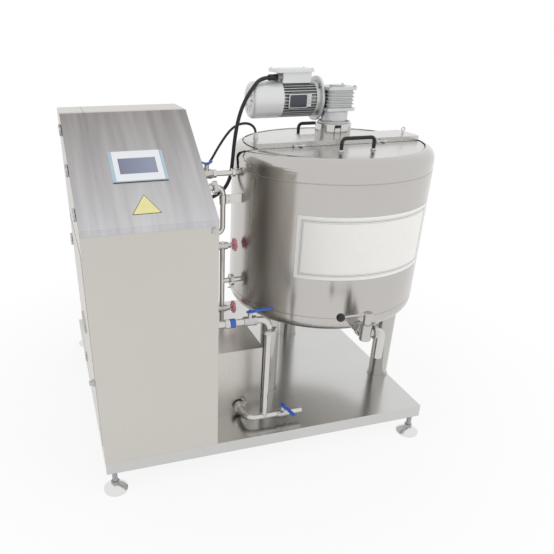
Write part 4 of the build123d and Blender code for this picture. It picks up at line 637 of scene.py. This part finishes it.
# Gravity-cast aluminium under silver lacquer: pale, fine-grained, with dull highlights.
cast_lacquer, tree, shader = new_material("lacquered_cast_aluminium")
place = add(tree, "ShaderNodeTexCoord").outputs["Object"]
grit = add(tree, "ShaderNodeTexNoise", Vector=place, Scale=900.0, Detail=3.0, Roughness=0.6).outputs["Fac"]
cloud = add(tree, "ShaderNodeTexNoise", Vector=place, Scale=30.0, Detail=2.0).outputs["Fac"]
tone = add(tree, "ShaderNodeMix", {"data_type": "RGBA"}, _0=cloud, _6=linear("cfd0d1"), _7=linear("dcdddd"))
tree.links.new(tone.outputs[2], shader.inputs["Base Color"])
# The base colour is darkened in the crevices between fins and ribs: painted shade.
hollow = add(tree, "ShaderNodeAmbientOcclusion", {"samples": 8}, Distance=0.016)
painted_crevice_shade = add(
    tree, "ShaderNodeMix", {"data_type": "RGBA"},
    _0=add(tree, "ShaderNodeMapRange", Value=hollow.outputs["AO"], From_Min=0.25, From_Max=0.8).outputs[0],
    _6=linear("5c5e60"), _7=tone.outputs[2],
)
tree.links.new(painted_crevice_shade.outputs[2], shader.inputs["Base Color"])
shader.inputs["Metallic"].default_value = 0.55
shader.inputs["Roughness"].default_value = 0.4
tree.links.new(
    add(
        tree, "ShaderNodeBump", Strength=0.25, Distance=0.0004, Height=grit,
        Normal=add(tree, "ShaderNodeBevel", {"samples": 4}, Radius=0.0015).outputs[0],
    ).outputs[0],
    shader.inputs["Normal"],
)
dress(cast_lacquer, "gearbox_housing", "motor_flange", "motor_body")
painted_cowl, tree, shader = new_material("painted_steel_cowl")
place = add(tree, "ShaderNodeTexCoord").outputs["Object"]
peel = add(tree, "ShaderNodeTexNoise", Vector=place, Scale=500.0, Detail=1.0).outputs["Fac"]
shader.inputs["Base Color"].default_value = linear("dfe0e0")
shader.inputs["Metallic"].default_value = 0.3
shader.inputs["Roughness"].default_value = 0.32
tree.links.new(
    add(tree, "ShaderNodeBump", Strength=0.1, Distance=0.0003, Height=peel).outputs[0], shader.inputs["Normal"]
)
dress(painted_cowl, "fan_cowl", "terminal_box")
dress(zinc_plate, "drive_bolts")
dress(gloss_sleeve, "cable_glands")

# Small fastenings on the drive: pan-head screws on the terminal box lid and the fan cowl,
# a blank silver plug in the box's end beside the cable gland, and a bare dark plate.


def cross_screw(name, places, axis, radius):
    """Pan-head screws seen from outside, each with a shallow cross recess."""
    heads = turned(
        name, places, axis,
        [(radius, -0.6), (radius, 0.8), (radius * 0.86, 1.7), (radius * 0.45, 2.2), (radius * 0.25, 1.2), (0, 1.0)], 24,
    )
    return heads


box_screws = cross_screw(
    "terminal_box_screws",
    [at(x, y, 1617.2) for x in (1007, 1177) for y in (600, 696)], (0, 0, 1), 4.2,
)
keep("terminal_box_screws", box_screws, zinc_plate, "machine")
cowl_screws = cross_screw(
    "cowl_screws",
    [at(1024, 648 + 82.1 * math.cos(a), 1483 + 82.1 * math.sin(a)) for a in (math.radians(235),)],
    (0, math.cos(math.radians(235)), math.sin(math.radians(235))), 4.2,
)
keep("cowl_screws", cowl_screws, zinc_plate, "machine")
plug = turned(
    "terminal_box_plug", [at(1034, 672, 1581)], (-1, 0, 0),
    [(14, 0), (14, 5), (12.5, 6), (12.5, 16), (11.5, 18), (6, 18.5), (0, 18.5)], 6,
)
keep("terminal_box_plug", plug, zinc_plate, "machine", 20)

# The plate on the motor is bare anodised foil, dark and a little glossy.
dark_foil, tree, shader = new_material("anodised_foil_dark")
place = add(tree, "ShaderNodeTexCoord").outputs["Object"]
brush = add(
    tree, "ShaderNodeTexNoise",
    Vector=add(tree, "ShaderNodeMapping", Vector=place, Scale=(30, 900, 900)).outputs[0], Scale=1.0,
).outputs["Fac"]
tone = add(tree, "ShaderNodeMix", {"data_type": "RGBA"}, _0=brush, _6=linear("3e4146"), _7=linear("565a60"))
tree.links.new(tone.outputs[2], shader.inputs["Base Color"])
shader.inputs["Metallic"].default_value = 0.6
shader.inputs["Roughness"].default_value = 0.35
plate_pad = plate(
    "motor_plate_pad",
    [at(x, 566.4, z) for x, z in ((1056, 1449), (1152, 1449), (1152, 1512), (1056, 1512))], 0.012, 0.0015,
)
keep("motor_plate_pad", plate_pad, cast_lacquer, "machine")
foil = plate(
    "motor_plate",
    [at(x, 565.6, z) for x, z in ((1061, 1453), (1147, 1453), (1147, 1508), (1061, 1508))], 0.0008, 0.0003,
)
keep("motor_plate", foil, dark_foil, "machine")
rivets = cross_screw(
    "motor_plate_rivets", [at(x, 565.4, z) for x in (1065, 1143) for z in (1457, 1504)], (0, -1, 0), 2.2
)
keep("motor_plate_rivets", rivets, zinc_plate, "machine")
gland_sleeve = turned(
    "gland_hex", [at(1034, 620, 1581)], (-1, 0, 0),
    [(16.4, 0), (19, 0.6), (19, 21), (18, 22), (16.4, 22), (16.4, 0)], 6,
)
keep("gland_hex", gland_sleeve, zinc_plate, "machine", 20)

# The pipework: thin-walled sanitary tube, polished, with welded ferrules and steel unions.
# Its bends keep the tube's finish, and the unions are turned, with sharper edges.
pipe_steel = sheet_metal("polished_304_tube", "c9c7c4", "d6d4d1", 0.15, (260, 260, 260), 0.25, 0.0012)
dress(
    pipe_steel, "supply_pipe", "return_pipe", "jacket_riser", "jacket_return", "bypass_pipe",
    "outlet_spout", "pipe_bracket",
)
turned_steel = sheet_metal("cast_304_valve_bodies", "bdbbb8", "cccac7", 0.25, (400, 400, 400), 0.3, 0.0015)
dress(turned_steel, "ball_valves", "angle_valves", "outlet_cock", "outlet_nut", "pipe_clamps", "outlet_lever")
dress(rubber_sheath, "clamp_gaskets")
dress(zinc_plate, "control_gear")
white_head, tree, shader = new_material("moulded_polypropylene_white")
place = add(tree, "ShaderNodeTexCoord").outputs["Object"]
flow = add(tree, "ShaderNodeTexNoise", Vector=place, Scale=150.0).outputs["Fac"]
tone = add(tree, "ShaderNodeMix", {"data_type": "RGBA"}, _0=flow, _6=linear("e2e2df"), _7=linear("ecece9"))
tree.links.new(tone.outputs[2], shader.inputs["Base Color"])
shader.inputs["Roughness"].default_value = 0.4
dress(white_head, "temperature_probe")

# The valves' handles: pressed steel levers in a blue dipped sleeve, and a small blue wing.
# The sleeve is plastisol, a soft shell with a wide sheen and slight sag marks.
blue_sleeve, tree, shader = new_material("dipped_vinyl_blue")
place = add(tree, "ShaderNodeTexCoord").outputs["Object"]
sag = add(tree, "ShaderNodeTexNoise", Vector=place, Scale=70.0, Detail=2.0).outputs["Fac"]
tone = add(tree, "ShaderNodeMix", {"data_type": "RGBA"}, _0=sag, _6=linear("2a57b4"), _7=linear("3a70cf"))
tree.links.new(tone.outputs[2], shader.inputs["Base Color"])
shader.inputs["Roughness"].default_value = 0.35
tree.links.new(
    add(tree, "ShaderNodeBump", Strength=0.2, Distance=0.0006, Height=sag).outputs[0], shader.inputs["Normal"]
)
dress(blue_sleeve, "supply_valve_lever", "drain_valve_lever", "return_valve_handle")
blue_rings = turned(
    "supply_union_band", [at(625, 89, 605)], (1, 0, 0),
    [(19.3, 0), (20.6, 0), (21.6, 1), (21.6, 24), (20.6, 25), (19.3, 25), (19.3, 0)], 48,
)
keep("supply_union_band", blue_rings, blue_sleeve, "machine")

# The handwheels: moulded in pink, with finger lobes round the rim and a bright centre nut.
pink_mould, tree, shader = new_material("moulded_nylon_pink")
place = add(tree, "ShaderNodeTexCoord").outputs["Object"]
flow = add(tree, "ShaderNodeTexNoise", Vector=place, Scale=110.0, Detail=2.0).outputs["Fac"]
tone = add(tree, "ShaderNodeMix", {"data_type": "RGBA"}, _0=flow, _6=linear("dd8798"), _7=linear("eba6b3"))
tree.links.new(tone.outputs[2], shader.inputs["Base Color"])
shader.inputs["Roughness"].default_value = 0.4
shader.inputs["Subsurface Weight"].default_value = 0.1
shader.inputs["Subsurface Radius"].default_value = (0.004, 0.002, 0.002)
dress(pink_mould, "upper_handwheel", "lower_handwheel")

# The stub on the water box passes through a moulded rubber ring.
box_ring = turned(
    "box_stub_ring", [at(724, 206, 50)], (0, 1, 0),
    [(18.2, 0), (27, 0), (30, 1.6), (30, 7), (27, 8.8), (18.2, 8.8), (18.2, 0)], 48,
)
keep("box_stub_ring", box_ring, rubber_sheath, "machine")

# The studio: a pale floor that runs to the horizon, two soft lamps and an even pale sky.
# The camera, polished steel and glass see the floor and the sky as white, and the floor
# keeps a faint shadow near the machine.


def white_to_eyes(tree):
    """One for rays from the camera, off a mirror or through glass, and nought for the rest."""
    rays = add(tree, "ShaderNodeLightPath").outputs
    mirror = add(tree, "ShaderNodeMath", {"operation": "MAXIMUM"}, _0=rays["Is Camera Ray"], _1=rays["Is Glossy Ray"])
    glass = add(tree, "ShaderNodeMath", {"operation": "MAXIMUM"}, _0=mirror.outputs[0], _1=rays["Is Transmission Ray"])
    return glass.outputs[0]


floor_shape = bmesh.new()
rings = []
for reach in (0, 2, 5, 12, 30):
    if reach == 0:
        rings.append([floor_shape.verts.new((0, 0, 0))])
    else:
        rings.append([
            floor_shape.verts.new((reach * math.cos(math.tau * k / 48), reach * math.sin(math.tau * k / 48), 0))
            for k in range(48)
        ])
for lower, upper in zip(rings, rings[1:]):
    for k in range(48):
        corners = list(dict.fromkeys((
            lower[k % len(lower)], lower[(k + 1) % len(lower)], upper[(k + 1) % 48], upper[k],
        )))
        floor_shape.faces.new(corners)
bmesh.ops.recalc_face_normals(floor_shape, faces=floor_shape.faces[:])
floor_mesh = bpy.data.meshes.new("studio_floor")
floor_shape.to_mesh(floor_mesh)
floor_shape.free()
floor = bpy.data.objects.new("studio_floor", floor_mesh)
bpy.context.scene.collection.objects.link(floor)
matt_floor, tree, shader = new_material("matt_studio_floor")
shader.inputs["Base Color"].default_value = linear("f2f2f2")
shader.inputs["Roughness"].default_value = 0.9
glow = add(tree, "ShaderNodeEmission", Color=(1, 1, 1, 1), Strength=1.0)
far = add(tree, "ShaderNodeVectorMath", {"operation": "LENGTH"}, _0=add(tree, "ShaderNodeTexCoord").outputs["Object"])
fade = add(tree, "ShaderNodeMapRange", Value=far.outputs["Value"], From_Min=1.2, From_Max=2.3, To_Min=0.85, To_Max=1.0)
share = add(tree, "ShaderNodeMath", {"operation": "MULTIPLY"}, _0=white_to_eyes(tree), _1=fade.outputs[0])
blend = add(tree, "ShaderNodeMixShader", _0=share.outputs[0], _1=shader.outputs[0], _2=glow.outputs[0])
tree.links.new(blend.outputs[0], tree.nodes["Material Output"].inputs[0])
floor_mesh.materials.append(matt_floor)

world = bpy.data.worlds.new("even_sky")
world.use_nodes = True
bpy.context.scene.world = world
tree = world.node_tree
tree.nodes.clear()
soft_sky = add(tree, "ShaderNodeBackground", Color=(1, 1, 1, 1), Strength=0.8)
clear_sky = add(tree, "ShaderNodeBackground", Color=(1, 1, 1, 1), Strength=1.0)
mixed = add(tree, "ShaderNodeMixShader", _0=white_to_eyes(tree), _1=soft_sky.outputs[0], _2=clear_sky.outputs[0])
add(tree, "ShaderNodeOutputWorld", _0=mixed.outputs[0])


def soft_lamp(name, place, aim, size, power):
    """A soft lamp that looks at a point, and doesn't show in the polished steel."""
    data = bpy.data.lights.new(name, "AREA")
    data.shape = "RECTANGLE"
    data.size, data.size_y = size
    data.energy = power
    lamp = bpy.data.objects.new(name, data)
    lamp.location = place
    lamp.visible_glossy = False
    lamp.rotation_euler = (Vector(aim) - Vector(place)).to_track_quat("-Z", "Y").to_euler()
    bpy.context.scene.collection.objects.link(lamp)


soft_lamp("key_lamp", (2.6, -3.4, 2.6), (0.1, 0, 0.9), (3.0, 3.0), 34)
soft_lamp("left_lamp", (-3.6, -1.8, 1.8), (-0.2, 0, 0.8), (2.2, 2.4), 16)
